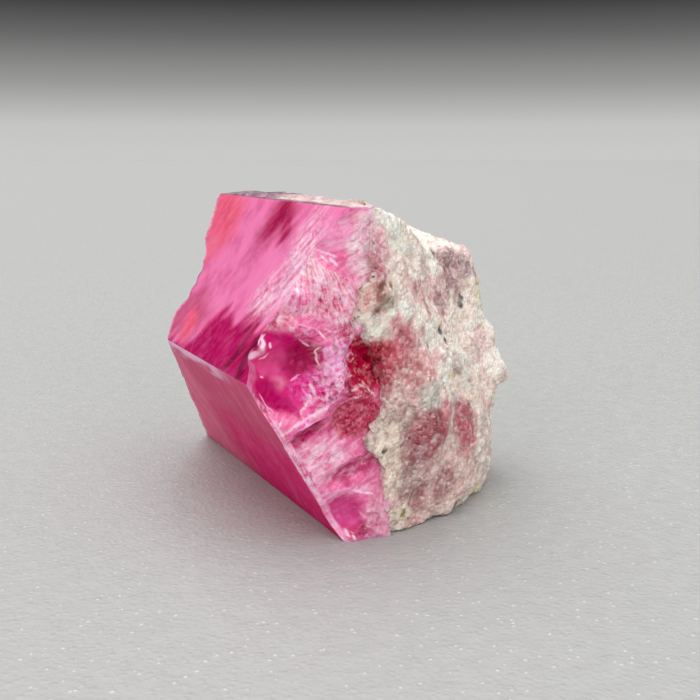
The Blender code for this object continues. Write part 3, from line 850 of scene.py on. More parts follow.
def upper_face_areas(y, rise):
    """Masks of the upper left prism face, over y and the distance up from the left edge."""
    lengthwise, crosswise = UPPER_FACE_FLOW
    along = rise * lengthwise - y * crosswise
    across = y * lengthwise + rise * crosswise
    ragged = noise_layers(across, along, UPPER_FACE_WISPS) + 0.04 * flat_noise(y, rise, 0.09, 0.09, 105)
    areas = area_masks(UPPER_FACE_AREAS, y + 0.6 * ragged, rise + ragged)
    places, heights = np.array(CLEAR_FOOT).T
    foot = np.interp(y, places, heights) + ragged
    areas["foot"] = 1.0 - smooth_step(foot - 0.05, foot + 0.05, rise)
    return areas


def lower_face_areas(y, fall):
    """Masks of the lower left prism face, over y and the distance down from the left edge."""
    ragged = noise_layers(y, fall, LOWER_FACE_WISPS)
    low = smooth_step(0.30, 0.62, fall + ragged)
    tail = smooth_step(1.05, 1.75, y + ragged)
    return {
        "tail": tail,
        # grey: the upper part of the face, lighter and greyer, a painted reflection of the floor over its own
        # pink.
        "grey": (1.0 - low) * (1.0 - tail),
        "low": low * (1.0 - 0.8 * tail),
        # edge: a light pink strip along the left edge, a painted highlight.
        "edge": (1.0 - smooth_step(0.03, 0.09, fall + ragged)) * smooth_step(0.35, 0.75, y),
    }


def rear_areas(x, z):
    """Masks of the far end over (x, z), their edges drawn ragged by noise."""
    ragged = noise_layers(x, z, REAR_WOBBLE)
    return area_masks(REAR_AREAS, x + ragged, z - ragged)


def fibre_lines(u, v, turn, pitch, length):
    """Coordinates for stretched noise: along the fibres over their length, and across them over the pitch."""
    along, across = turned(u, v, turn)
    return np.stack([along / length, across / pitch, np.zeros_like(across)], -1)


def on_narrow_top(x, z):
    """Whether a place lies on the crystal's narrow top."""
    return (z > TOP - ON_TOP) & (x > -0.5 + 0.001)


def top_fibres(x, y):
    """Fibre coordinates of the narrow top."""
    return fibre_lines(x, y, 70.0, 0.045, 0.11)


def top_tint(x, y):
    """Tint of the narrow top: bare along its edge, then a crust that turns greyer towards the far end."""
    crusted = smooth_step(-0.475, -0.435, x + 0.03 * flat_noise(x, y, 0.06, 0.15, 92))[..., None]
    far = smooth_step(1.10, 1.35, y + 0.15 * flat_noise(x, y, 0.1, 0.3, 94))[..., None]
    bare, far_grey, crust = (shade(colour) for colour in (TOP_BARE, TOP_FAR_GREY, TOP_CRUSTED))
    return bare + (crust + (far_grey - crust) * far - bare) * crusted


def stroke(x, z, start, end, width):
    """Mask of a stroke from one place to another: 1 - a step of the distance over the width, which tapers as
    0.5 + 2 s (1 - s) along it.
    """
    run_x = end[0] - start[0]
    run_z = end[1] - start[1]
    share = ((x - start[0]) * run_x + (z - start[1]) * run_z) / (run_x**2 + run_z**2)
    share = np.clip(share, 0.0, 1.0)
    away = np.hypot(x - start[0] - share * run_x, z - start[1] - share * run_z)
    thick = width * (0.5 + 2.0 * share * (1.0 - share))
    return 1.0 - smooth_step(0.5 * thick, 1.2 * thick, away)


def grained(tint, areas, x, z):
    """The break's tint with light and dark grains, each kind in the area that it is named for."""
    for name, cell, strength, rarity, lit, seed in BREAK_GRAINS:
        _, _, trait = grains(np.stack([x, z], -1), cell, seed)
        light = areas[name] * strength * smooth_step(rarity, rarity + 0.4, trait[..., 0])
        dark = areas[name] * strength * (1.0 - rarity) * smooth_step(0.20, 0.95, -trait[..., 0])
        tint = tint * (1.0 - dark[..., None] * np.array(GRAIN_SINK))
        tint = laid_over(tint, lit, 0.75 * light)
    return tint


def stroked(tint, milk, x, z):
    """The break's tint and milkiness with its strokes drawn over them, a little bent by noise."""
    bent_x = x + 0.004 * flat_noise(x, z, 0.02, 0.02, 56)
    bent_z = z + 0.004 * flat_noise(x, z, 0.02, 0.02, 57)
    for kind, *places in BREAK_STROKES:
        width, colour, own_milk = STROKE_KINDS[kind]
        for start, end in zip(places, places[1:]):
            mask = 0.9 * stroke(bent_x, bent_z, start, end, width)
            tint = laid_over(tint, colour, mask)
            milk = milk + (own_milk - milk) * mask
    return tint, milk


def break_fibres(areas, x, y, z):
    """Fibre coordinates of the break: slanting lines, and each listed area's own where it is strong.

    The fan's fibres are rays from its head, and the chaos's are rays from the middle of its star of cracks.
    """
    fan_angle, fan_distance = seen_from(FAN_HEAD, x, z)
    star_angle, star_distance = seen_from(STAR_MIDDLE, x, z)
    one = np.ones_like(x)
    own_lines = {
        "fan": np.stack([fan_distance / 0.10, fan_angle / 0.045, one], -1),
        "chaos": np.stack([star_distance / 0.05, star_angle / 0.16, 2.0 * one], -1),
        "bevel": fibre_lines(x, z, -60.0, 0.012, 0.16),
        "fold": fibre_lines(x, z, 75.0, 0.020, 0.10),
    }
    fibre = fibre_lines(x, z, 33.0, 0.018, 0.07)
    for name, lines in own_lines.items():
        fibre = np.where(areas[name][..., None] > 0.3, lines, fibre)
    return np.where(on_narrow_top(x, z)[..., None], top_fibres(x, y), fibre)


def break_masks(x, y, z):
    """Finish of the break, frosted in its rough areas and smooth in its clear ones."""
    areas = break_areas(x, z)
    tint, milk = painted(areas, BREAK_TINTS, BREAK_COLOUR)
    tint, milk = stroked(grained(tint, areas, x, z), milk, x, z)
    clear = areas["hollow"] + areas["tip"] + areas["pit"]
    rough = areas["fan"] + areas["upper"] + 0.6 * areas["pale"] + 0.3 * areas["chaos"] + 0.4 * areas["web"]
    rough = np.clip(rough + 0.5 * areas["bevel"] - 0.4 * areas["rose"], -0.5, 1.0)
    frost = np.clip(0.40 + 0.60 * rough - 0.37 * clear, 0.03, 1.0)
    fibre = break_fibres(areas, x, y, z)
    return {"tint": tint, "milk": milk, "fibre": fibre, "frost": frost, "satin": np.zeros_like(x)}


def side_masks(x, y, z):
    """Finish of the sides: the two left prism faces, the narrow top, and the rest, which is plain."""
    rise = (z - TOP / 2) / (ROOT3 / 2)
    left = x < -0.5 - 0.0001
    upper = left & (rise > 0.0)
    lower = left & (rise <= 0.0)
    top = on_narrow_top(x, z)
    upper_areas = upper_face_areas(y, rise)
    upper_tint, upper_milk = painted(upper_areas, UPPER_FACE_TINTS, UPPER_FACE_COLOUR)
    lower_tint, lower_milk = painted(lower_face_areas(y, -rise), LOWER_FACE_TINTS, LOWER_FACE_COLOUR)
    faces = [face[..., None] for face in (upper, lower, top)]
    tint = np.select(faces, [upper_tint, lower_tint, top_tint(x, y)], shade(REAR_COLOUR))
    upper_fibres = fibre_lines(y, rise, 130.0, 0.040, 0.22)
    lower_fibres = fibre_lines(y, rise, 90.0, 0.05, 0.5)
    fibre = np.select(faces, [upper_fibres, lower_fibres, top_fibres(x, y)], lower_fibres)
    milk = np.select([upper, lower, top], [upper_milk, lower_milk, 1.0], 0.6)
    frost = np.where(top, 0.45, 0.06 + 0.94 * upper_areas["frosted"] * upper)
    return {"tint": tint, "milk": milk, "fibre": fibre, "frost": frost, "satin": 1.0 * (lower & (y > 0.0))}


def rear_masks(x, z):
    """Finish of the far end: its areas, with light grains in the milky ones."""
    areas = rear_areas(x, z)
    tint, milk = painted(areas, REAR_TINTS, REAR_COLOUR)
    _, _, trait = grains(np.stack([x, z], -1), 0.020, 182)
    tint = laid_over(tint, GRAIN_LIGHT, 0.6 * areas["milky"] * smooth_step(0.4, 0.9, trait[..., 0]))
    frost = 0.25 + 0.5 * np.clip(areas["milky"] + 0.6 * areas["bite"], 0.0, 1.0)
    fibre = fibre_lines(x, z, 58.0, 0.040, 0.16)
    return {"tint": tint, "milk": milk, "fibre": fibre, "frost": frost, "satin": np.zeros_like(x)}


def crystal_masks(rows):
    """The crystal's tint, milkiness, fibre coordinates, frost and satin at every point of its grid."""
    x, y, z = np.moveaxis(rows, -1, 0)
    front = slice(None, FRONT_ROWS)
    sides = slice(FRONT_ROWS, FRONT_ROWS + SIDE_ROWS)
    rear = slice(FRONT_ROWS + SIDE_ROWS, None)
    parts = [
        break_masks(x[front], y[front], z[front]),
        side_masks(x[sides], y[sides], z[sides]),
        rear_masks(x[rear], z[rear]),
    ]
    masks = {name: np.concatenate([part[name] for part in parts]) for name in parts[0]}
    masks["milk"] = np.clip(masks["milk"], 0.0, 1.0)
    return masks


# ---------------------------------------------------------------- the rock's shape

ROCK_MIDDLE = (0.22, 1.05, 0.86)
ROCK_ROUNDING = 22.0
# The direction from its middle that its rings go round, the rings' points and number, and its sharp edges'
# least bend in degrees.
ROCK_AXIS = (0.10, -0.98, 0.10)
ROCK_RING = 446
ROCK_ROWS = 223
ROCK_SHARP = 80.0
# Its points are spaced by measuring a coarse grid: angles round it and away from its axis, and how far from
# that axis, in radians, the loop lies that spaces its spokes.
COARSE_TURNS = 721
COARSE_POLARS = 361
LOOP_POLAR = 1.15
# What a step counts for: of the loop where it's hidden, of a spoke on the flats, and how much less behind.
HIDDEN_TURN = 0.55
FLAT_STEP = 0.15
REAR_SAVING = 0.45
# Its flat sides: a place on each and its outward direction.
ROCK_PLANES = (
    ("front", (-0.25, -0.01, 0.40), (0.20, -0.98, -0.02)),
    ("front_right", (0.28, 0.12, 0.30), (0.62, -0.78, 0.02)),
    ("front_upper", (-0.29, 0.08, 1.70), (0.66, -0.70, 0.27)),
    ("top", (-0.30, 0.80, 1.755), (0.32, -0.03, 0.95)),
    ("top_right", (0.75, 0.80, 1.50), (0.81, -0.44, 0.38)),
    ("upper_right", (0.90, 0.70, 1.17), (0.84, -0.48, 0.25)),
    ("middle_right", (0.83, 0.60, 0.86), (0.84, -0.54, -0.06)),
    ("lower_right", (0.62, 0.40, 0.27), (0.73, -0.57, -0.36)),
    ("under_right", (0.43, 0.20, 0.12), (0.52, -0.55, -0.66)),
    ("right", (0.89, 1.00, 0.90), (0.98, 0.12, 0.10)),
    ("rear_right", (0.66, 1.75, 0.95), (0.70, 0.70, 0.12)),
    ("rear", (0.20, 2.16, 0.90), (0.05, 0.97, 0.20)),
    ("under", (0.10, 1.10, -0.08), (0.0, 0.0, -1.0)),
    ("left", (-0.95, 1.00, 0.90), (-1.0, 0.0, 0.0)),
)
# Lumps all over it: cell, height and seed.
ROCK_LUMPS = ((0.62, 0.060, 11), (0.30, 0.034, 23), (0.15, 0.016, 37))
# Knobs and, with a height below 0, dents: direction from the middle, half width and height.
ROCK_SPOTS = (
    ("side_knob", (0.700, -0.300, -0.215), 0.080, 0.080),
    ("side_dent", (0.640, -0.330, -0.500), 0.170, -0.110),
    ("upper_dent", (0.10, -0.40, 0.72), 0.120, -0.040),
    ("corner_pit", (-0.26, -0.98, -0.66), 0.045, -0.050),
    ("middle_pit", (0.16, -0.85, -0.16), 0.060, -0.045),
    ("upper_pit", (0.30, -0.70, 0.48), 0.075, -0.045),
    ("lower_dent", (0.05, -0.95, -0.45), 0.160, -0.040),
    ("right_hollow", (0.92, 0.30, 0.10), 0.190, -0.100),
    ("right_pit", (0.80, 0.05, -0.45), 0.100, -0.060),
    ("rear_hollow", (0.15, 0.95, -0.10), 0.200, -0.090),
    ("rear_pit", (0.48, 0.80, 0.35), 0.100, -0.060),
    ("top_hollow", (0.30, 0.10, 0.95), 0.150, -0.060),
    ("top_knob", (-0.10, 0.42, 0.88), 0.170, 0.030),
    ("crust_lobe", (-0.56, -1.07, 0.40), 0.170, 0.050),
    ("crust_shelf", (-0.52, -1.06, -0.30), 0.140, 0.025),
)
# Blotches of the rock: place, reach, screen colour and strength.
ROCK_BLOTCHES = (
    ((-0.050, 0.060, 0.300), 0.330, (0.84, 0.62, 0.62), 0.7),
    ((-0.230, -0.040, 0.820), 0.130, (0.84, 0.60, 0.61), 0.8),
    ((0.300, 0.250, 0.250), 0.200, (0.86, 0.68, 0.66), 0.6),
    ((-0.010, 0.000, 0.530), 0.150, (0.66, 0.24, 0.31), 1.0),
    ((-0.130, 0.001, 0.440), 0.080, (0.60, 0.23, 0.29), 1.0),
    ((0.130, 0.080, 0.610), 0.080, (0.83, 0.52, 0.55), 1.0),
    ((0.370, 0.270, 0.480), 0.160, (0.76, 0.36, 0.42), 1.0),
    ((0.140, 0.097, 0.204), 0.100, (0.66, 0.40, 0.42), 0.8),
    ((-0.058, 0.069, 0.180), 0.070, (0.70, 0.46, 0.47), 0.7),
    ((-0.170, 0.011, 0.280), 0.050, (0.64, 0.42, 0.44), 0.6),
    ((-0.169, -0.013, 1.022), 0.120, (0.80, 0.42, 0.48), 1.0),
    ((-0.081, -0.014, 0.884), 0.100, (0.82, 0.54, 0.54), 0.8),
    ((-0.383, -0.041, 1.321), 0.060, (1.00, 0.80, 0.74), 0.9),
    ((-0.310, -0.018, 1.260), 0.040, (0.66, 0.48, 0.40), 0.9),
    ((-0.366, -0.030, 1.141), 0.045, (0.90, 0.90, 0.84), 1.0),
    ((-0.230, -0.020, 0.629), 0.110, (0.74, 0.60, 0.57), 0.9),
    ((-0.270, -0.029, 0.460), 0.120, (0.76, 0.63, 0.60), 0.8),
    ((-0.020, -0.014, 0.746), 0.090, (0.72, 0.70, 0.66), 0.8),
    ((0.059, 0.015, 0.515), 0.030, (0.88, 0.84, 0.78), 1.0),
    ((-0.115, 0.021, 0.286), 0.110, (0.70, 0.54, 0.53), 0.8),
    ((0.508, 0.730, 1.308), 0.160, (0.72, 0.53, 0.56), 0.9),
    ((0.303, 0.477, 1.170), 0.090, (0.68, 0.48, 0.52), 0.8),
    ((0.150, 0.400, 1.330), 0.070, (0.86, 0.68, 0.69), 0.7),
    ((-0.249, 0.004, 1.334), 0.030, (0.70, 0.58, 0.38), 0.9),
    ((0.880, 0.900, 1.150), 0.120, (0.90, 0.87, 0.70), 0.9),
    ((0.516, 0.404, 0.040), 0.080, (0.86, 0.81, 0.60), 0.9),
    ((0.350, 0.380, 0.747), 0.030, (0.78, 0.64, 0.38), 0.9),
    ((0.650, 0.500, 0.950), 0.170, (0.88, 0.70, 0.67), 0.7),
    ((0.600, 1.700, 0.700), 0.260, (0.74, 0.50, 0.53), 0.8),
    ((0.150, 2.100, 1.200), 0.200, (0.70, 0.66, 0.61), 0.8),
    ((0.100, 1.300, 1.750), 0.220, (0.78, 0.56, 0.57), 0.7),
    ((-0.390, -0.050, 1.645), 0.085, (1.00, 0.80, 0.84), 1.0),
    ((-0.370, -0.049, 1.521), 0.085, (1.00, 0.79, 0.82), 1.0),
    ((-0.330, -0.018, 1.430), 0.070, (0.97, 0.72, 0.75), 1.0),
    ((-0.220, 0.060, 1.500), 0.090, (0.98, 0.86, 0.84), 0.9),
    ((-0.300, 0.030, 1.620), 0.070, (0.98, 0.72, 0.78), 0.9),
    ((-0.300, 0.007, 1.500), 0.075, (0.90, 0.58, 0.66), 0.9),
    ((-0.334, -0.031, 1.390), 0.050, (0.84, 0.50, 0.56), 0.9),
    ((-0.450, -0.060, 1.270), 0.065, (0.86, 0.60, 0.58), 0.9),
    ((-0.352, -0.040, 1.215), 0.034, (0.52, 0.22, 0.20), 1.0),
    ((-0.330, -0.025, 1.300), 0.040, (0.68, 0.42, 0.36), 1.0),
    ((-0.262, -0.005, 1.330), 0.026, (0.62, 0.47, 0.24), 0.9),
    ((-0.088, 0.204, 1.546), 0.048, (0.84, 0.62, 0.60), 0.9),
    ((-0.088, 0.200, 1.570), 0.120, (1.00, 0.99, 0.93), 1.0),
    ((0.807, 0.745, 0.800), 0.120, (1.00, 0.97, 0.92), 0.9),
    ((-0.300, 0.060, 1.700), 0.080, (1.00, 0.96, 0.90), 0.9),
    ((0.520, 0.766, 1.388), 0.055, (0.70, 0.54, 0.56), 0.9),
    ((0.694, 0.874, 1.311), 0.065, (0.66, 0.50, 0.53), 0.9),
    ((0.015, 0.213, 1.290), 0.050, (0.78, 0.56, 0.60), 0.9),
    ((0.107, 0.267, 1.179), 0.050, (0.76, 0.58, 0.61), 0.8),
    ((0.763, 1.014, 1.414), 0.075, (1.00, 0.84, 0.84), 0.9),
    ((-0.210, 0.000, 1.158), 0.045, (0.86, 0.52, 0.58), 0.9),
    ((0.501, 0.675, 1.124), 0.045, (1.00, 0.98, 0.92), 0.9),
    ((-0.241, -0.003, 1.208), 0.030, (1.00, 0.98, 0.90), 1.0),
    ((-0.336, -0.030, 1.342), 0.028, (0.56, 0.32, 0.28), 1.0),
    ((-0.383, -0.052, 1.432), 0.026, (0.64, 0.32, 0.38), 0.9),
    ((0.718, 0.718, 0.873), 0.110, (0.96, 0.80, 0.80), 0.8),
    ((0.259, 0.237, 0.766), 0.060, (0.98, 0.93, 0.78), 0.8),
    ((-0.300, 0.020, 0.960), 0.100, (0.80, 0.10, 0.30), 1.0),
    ((-0.340, -0.060, 1.000), 0.080, (0.74, 0.06, 0.24), 1.0),
    ((-0.340, -0.060, 0.905), 0.085, (0.73, 0.10, 0.26), 1.0),
    ((-0.335, -0.055, 0.820), 0.060, (0.72, 0.24, 0.33), 1.0),
    ((-0.270, -0.050, 0.930), 0.050, (0.74, 0.30, 0.37), 0.8),
    ((-0.147, 0.038, 0.102), 0.050, (0.96, 0.92, 0.82), 1.0),
    ((0.043, 0.008, 0.512), 0.034, (0.86, 0.78, 0.76), 0.8),
    ((-0.050, 0.007, 0.440), 0.040, (0.74, 0.58, 0.60), 0.8),
)
# Small dark grains and vugs of the rock, the vugs' dark being painted shade: place, reach and screen colour.
ROCK_DARK_SPOTS = (
    ((0.354, 0.672, 1.420), 0.030, (0.28, 0.31, 0.33)),
    ((0.615, 0.783, 1.141), 0.030, (0.34, 0.35, 0.37)),
    ((0.600, 0.765, 1.090), 0.024, (0.40, 0.40, 0.42)),
    ((0.216, 0.315, 1.027), 0.027, (0.28, 0.31, 0.33)),
    ((0.262, 0.318, 0.967), 0.029, (0.30, 0.33, 0.34)),
    ((0.041, 0.106, 0.988), 0.022, (0.45, 0.40, 0.40)),
    ((0.445, 0.361, 0.569), 0.020, (0.45, 0.48, 0.46)),
    ((-0.394, -0.022, 0.529), 0.022, (0.38, 0.32, 0.26)),
    ((-0.291, -0.023, 0.470), 0.020, (0.45, 0.40, 0.32)),
    ((-0.147, 0.038, 0.102), 0.026, (0.62, 0.54, 0.28)),
    ((-0.266, -0.009, 1.245), 0.040, (0.60, 0.53, 0.45)),
    ((0.261, 0.193, 0.045), 0.040, (0.45, 0.41, 0.40)),
)
# The rock's flow: turned from +Y towards +X by that many degrees, and how much its grain shortens along it.
FLOW_TURN = 24.0
FLOW_DRAW = 0.65
ROCK_CREAM = (0.98, 0.91, 0.86)
ROCK_WHITE = (1.00, 0.98, 0.93)
ROCK_PINK = (0.94, 0.74, 0.74)
ROCK_GREY = (0.80, 0.75, 0.72)
ROCK_CRUST = (0.98, 0.93, 0.85)
# Soft clouds of tint: cell, colour, the noise at which one starts and is full, and seed.
ROCK_CLOUDS = (
    (0.30, ROCK_PINK, 0.05, 0.45, 151),
    (0.20, ROCK_GREY, 0.20, 0.55, 152),
    (0.15, ROCK_WHITE, 0.05, 0.40, 153),
)
# Cell and seed of the rock's larger grains, which shape it and tint it alike.
ROCK_GRAIN = (0.050, 141)
# Its rounded grains, large and small: cell and seed, height, and a grain's usual share of it and spread.
ROCK_BEADS = (
    (ROCK_GRAIN, 0.014, 0.65, 0.35),
    ((0.030, 142), 0.006, 0.60, 0.40),
)
# Its small pits: cell and seed, reach in cells, and depth.
ROCK_PITS = ((0.15, 143), 0.24, 0.036)
# How high the crust's own tint reaches.
CRUST_PAINT_TOP = 0.62
# How far left of the flat contact the rock's crust reaches: height, reach.
ROCK_CRUST_REACH = (
    (0.00, 0.00),
    (0.15, 0.01),
    (0.30, 0.03),
    (0.42, 0.06),
    (0.52, 0.10),
    (0.62, 0.05),
    (0.72, 0.01),
    (0.90, 0.00),
    (1.05, 0.04),
    (1.13, 0.11),
    (1.20, 0.14),
    (1.30, 0.13),
    (1.38, 0.07),
    (1.46, 0.03),
    (1.60, 0.02),
    (1.74, 0.02),
)


def rock_radius(directions):
    """The rock's radius along unit directions: the rounded minimum over its planes, lumps, knobs and pits."""
    middle = np.array(ROCK_MIDDLE)
    total = np.zeros(directions.shape[:-1])
    for _, point, normal in ROCK_PLANES:
        normal = np.array(normal) / np.linalg.norm(normal)
        reach = (np.array(point) - middle) @ normal
        total += np.clip(directions @ normal / reach, 0.0, None) ** ROCK_ROUNDING
    radius = total ** (-1.0 / ROCK_ROUNDING)
    for cell, height, seed in ROCK_LUMPS:
        radius = radius + height * lattice_noise(middle + directions * radius[..., None], cell, seed)
    for _, towards, half_width, height in ROCK_SPOTS:
        towards = np.array(towards) / np.linalg.norm(towards)
        off = np.arccos(np.clip(directions @ towards, -1.0, 1.0)) * radius
        radius = radius + height * np.exp(-((off / half_width) ** 2))
    return radius


def outward_normals(places):
    """Unit normals of a grid of rings: the cross product of the steps along a ring and along the rows."""
    along = np.roll(places, -1, 1) - np.roll(places, 1, 1)
    across = np.gradient(places, axis=0)
    normals = np.cross(along, across)
    normals[0] = normals[1].mean(0)
    normals[-1] = normals[-2].mean(0)
    normals = normals / np.maximum(np.linalg.norm(normals, axis=-1, keepdims=True), 1e-12)
    outward = np.sum(normals * (places - places.mean((0, 1))), axis=-1).mean()
    return normals * np.sign(outward)


def directions_at(polar, turn):
    """Unit directions from the rock's middle: polar away from its front axis, turned round that axis."""
    axis = np.array(ROCK_AXIS)
    axis = axis / np.linalg.norm(axis)
    side = np.cross((0.0, 0.0, 1.0), axis)
    side = side / np.linalg.norm(side)
    up = np.cross(axis, side)
    round_it = np.cos(turn)[..., None] * side + np.sin(turn)[..., None] * up
    return np.cos(polar)[..., None] * axis + np.sin(polar)[..., None] * round_it


def cut_flat(directions, radius, reach):
    """The radius cut off by the flat contact, moved left by the reach, and by the flat underside."""
    middle = np.array(ROCK_MIDDLE)
    normal = np.array(CONTACT_NORMAL) / np.linalg.norm(CONTACT_NORMAL)
    to_plane = (middle - np.array(CONTACT_POINT)) @ normal
    leftward = np.clip(-(directions @ normal), 1e-6, None)
    downward = np.clip(-directions[..., 2], 1e-6, None)
    return np.minimum(np.minimum(radius, (to_plane + reach) / leftward), middle[2] / downward)


def measured_way(places, weights):
    """How far along a line of places each of them lies, from 0, every step times its weight."""
    steps = np.linalg.norm(np.diff(places, axis=0), axis=-1) * weights
    return np.concatenate([np.zeros_like(steps[:1]), np.cumsum(steps, axis=0)])


def even_directions(ring, count):
    """Directions of the rock's grid, its rings spaced evenly along the surface and its spokes round it.

    Each step along a coarse spoke or ring is measured; steps on the flat contact and underside, which do not
    show, count for less. Angles are then read off at equal shares of the measured way.
    """
    fine = np.linspace(0.0, 2.0 * math.pi, COARSE_TURNS)
    loop = directions_at(np.full_like(fine, LOOP_POLAR), fine)
    places = loop * cut_flat(loop, rock_radius(loop), 0.0)[:, None]
    shown = np.where((loop[:-1, 0] > -0.30) & (loop[:-1, 2] > -0.55), 1.0, HIDDEN_TURN)
    way = measured_way(places, shown)
    turn = np.interp(np.arange(ring) / ring, way / way[-1], fine)
    polar = np.linspace(0.0, math.pi, COARSE_POLARS)[:, None]
    coarse = (COARSE_POLARS, ring)
    spokes = directions_at(np.broadcast_to(polar, coarse), np.broadcast_to(turn, coarse))
    free = rock_radius(spokes)
    radius = cut_flat(spokes, free, 0.0)
    places = spokes * radius[..., None]
    flat = (radius < free - 1e-6)[1:]
    behind = smooth_step(0.0, 0.9, places[1:, :, 1])
    way = measured_way(places, np.where(flat, FLAT_STEP, 1.0 - REAR_SAVING * behind))
    share = np.linspace(0.0, 1.0, count)
    rings = np.stack([np.interp(share, spoke / spoke[-1], polar[:, 0]) for spoke in way.T], -1)
    return directions_at(rings, np.broadcast_to(turn, rings.shape))


def build_rock():
    """The rock, as rings round an axis that leaves its middle to the front, drawn out to its surface.

    The coarse radius gets rounded grains, small pits and fine grit along the surface's own normals, then the
    flat contact, with its crust's uneven edge, and the flat underside cut it off.
    """
    middle = np.array(ROCK_MIDDLE)
    directions = even_directions(ROCK_RING, ROCK_ROWS)
    places = middle + directions * rock_radius(directions)[..., None]
    places = places + outward_normals(places) * rock_grain(places)[..., None]
    radius = np.linalg.norm(places - middle, axis=-1)
    directions = (places - middle) / radius[..., None]
    heights, reaches = np.array(ROCK_CRUST_REACH).T
    crust = np.interp(places[..., 2], heights, reaches)
    near_front = 1.0 - smooth_step(0.10, 0.45, places[..., 1])
    ragged = 0.032 * lattice_noise(places, 0.060, 131) + 0.022 * lattice_noise(places, 0.024, 132)
    reach = np.maximum(0.010 + near_front * (crust + ragged), 0.004)
    radius = cut_flat(directions, radius, reach)
    rows = middle + directions * radius[..., None]
    return closed_grid("rock_skin", rows, rock_masks(rows), ROCK_SHARP)


def along_flow(places):
    """Places turned by FLOW_TURN and shortened by FLOW_DRAW along the rock's flow, so noise is drawn out."""
    lengthwise, crosswise = turned(places[..., 1], places[..., 0], FLOW_TURN)
    return np.stack([crosswise, FLOW_DRAW * lengthwise, places[..., 2]], -1)


def rock_blotches(tint, rows):
    """The rock's tint with its blotches, whose edges are warped by noise of two sizes."""
    warped = rows + 0.030 * np.stack([lattice_noise(rows, 0.07, seed) for seed in (161, 162, 163)], -1)
    warped = warped + 0.012 * np.stack([lattice_noise(rows, 0.025, seed) for seed in (165, 166, 167)], -1)
    for place, reach, colour, strength in ROCK_BLOTCHES:
        away = np.linalg.norm(warped - np.array(place), axis=-1) / reach
        tint = laid_over(tint, colour, 0.95 * strength * (1.0 - smooth_step(0.60, 1.40, away)))
    return tint


def rock_masks(rows):
    """The rock's tint, and how far each point lies in a gap between grains."""
    drawn = along_flow(rows)
    tint = np.broadcast_to(shade(ROCK_CREAM), rows.shape)
    for cell, colour, low, high, seed in ROCK_CLOUDS:
        noise = lattice_noise(drawn, cell, seed) + 0.45 * lattice_noise(drawn, 0.3 * cell, seed + 20)
        tint = laid_over(tint, colour, 0.8 * smooth_step(low, high, noise))
    near, _, trait = grains(drawn, *ROCK_GRAIN)
    white = smooth_step(0.45, 0.85, trait[..., 1]) * (1.0 - smooth_step(0.40, 0.62, near))
    tint = laid_over(tint, ROCK_WHITE, 0.55 * white)
    tint = rock_blotches(tint, rows)
    crust = 1.0 - smooth_step(0.02, 0.10, (rows - np.array(CONTACT_POINT)) @ np.array(CONTACT_NORMAL) - 0.01)
    crust = crust * smooth_step(-0.5, 0.3, lattice_noise(rows, 0.09, 164) + 0.25)
    tint = laid_over(tint, ROCK_CRUST, 0.75 * crust * (rows[..., 2] < CRUST_PAINT_TOP))
    tint = tint * (1.03 + 0.10 * trait[..., :1])
    for place, reach, colour in ROCK_DARK_SPOTS:
        away = np.linalg.norm(drawn - along_flow(np.array(place)), axis=-1) / reach
        tint = laid_over(tint, colour, 1.0 - smooth_step(0.6, 1.3, away))
    return {"tint": np.clip(tint, 0.02, 0.97), "gap": smooth_step(0.50, 0.85, near)}


def bead_height(drawn, grain, height, usual, vary):
    """Relief of rounded grains: the height times s sqrt(1 - r^2) - 0.6, where s differs from one grain to the
    next, and r is 1 at 0.8 cells from a grain's middle.
    """
    near, _, trait = grains(drawn, *grain)
    bead = np.sqrt(np.clip(1.0 - (near / 0.80) ** 2, 0.0, 1.0)) * (usual + vary * trait[..., 0])
    return height * (bead - 0.6)


def rock_grain(places):
    """Small relief of the rock, in sides: its rounded grains, its small pits, and lumps."""
    drawn = along_flow(places)
    relief = sum(bead_height(drawn, *bead) for bead in ROCK_BEADS)
    grain, reach, depth = ROCK_PITS
    near, _, trait = grains(drawn, *grain)
    pit = np.clip(1.0 - near / reach, 0.0, 1.0) * (trait[..., 1] > 0.0)
    lumps = 0.020 * lattice_noise(places, 0.110, 144) + 0.008 * lattice_noise(places, 0.045, 145)
    return relief - depth * smooth_step(0.0, 0.8, pit) + lumps


# ---------------------------------------------------------------- finishes

# The node groups' sockets that hold vectors; the others hold single values.
VECTOR_SOCKETS = ("Vector", "Own", "Normal")


def feed(tree, socket, value):
    """Gives a socket a value, or links another socket to it. A colour gets its full alpha here."""
    if isinstance(value, bpy.types.NodeSocket):
        tree.links.new(value, socket)
    elif socket.type == "RGBA":
        socket.default_value = (*value, 1.0)
    else:
        socket.default_value = value


def feed_all(tree, node, values):
    """Gives a node's inputs their values or links, by name or number."""
    for key, value in values.items():
        feed(tree, node.inputs[key], value)


def add_node(tree, kind, values=None, **properties):
    """A node of that kind, with its properties set and its inputs given values or links."""
    node = tree.nodes.new(kind)
    for key, value in properties.items():
        setattr(node, key, value)
    feed_all(tree, node, values or {})
    return node


def blend(tree, share, first, second, blend_type="MIX"):
    """The colour that lies that share of the way from the first to the second."""
    mix = add_node(tree, "ShaderNodeMix", data_type="RGBA", blend_type=blend_type, clamp_factor=True)
    feed_all(tree, mix, {0: share, 6: first, 7: second})
    return mix.outputs[2]


def layered(tree, colour, layers):
    """A colour with layers blended over it in turn, each a share, a colour and a blend type."""
    for share, layer, blend_type in layers:
        colour = blend(tree, share, colour, layer, blend_type)
    return colour


def spread(tree, value, low, high, to_low=0.0, to_high=1.0):
    """The value's range low to high, carried to another range and clamped there."""
    values = {"Value": value, "From Min": low, "From Max": high, "To Min": to_low, "To Max": to_high}
    return add_node(tree, "ShaderNodeMapRange", values).outputs["Result"]


def calculate(tree, operation, first, second):
    """One sum, quotient or the like of two values."""
    return add_node(tree, "ShaderNodeMath", {0: first, 1: second}, operation=operation).outputs[0]


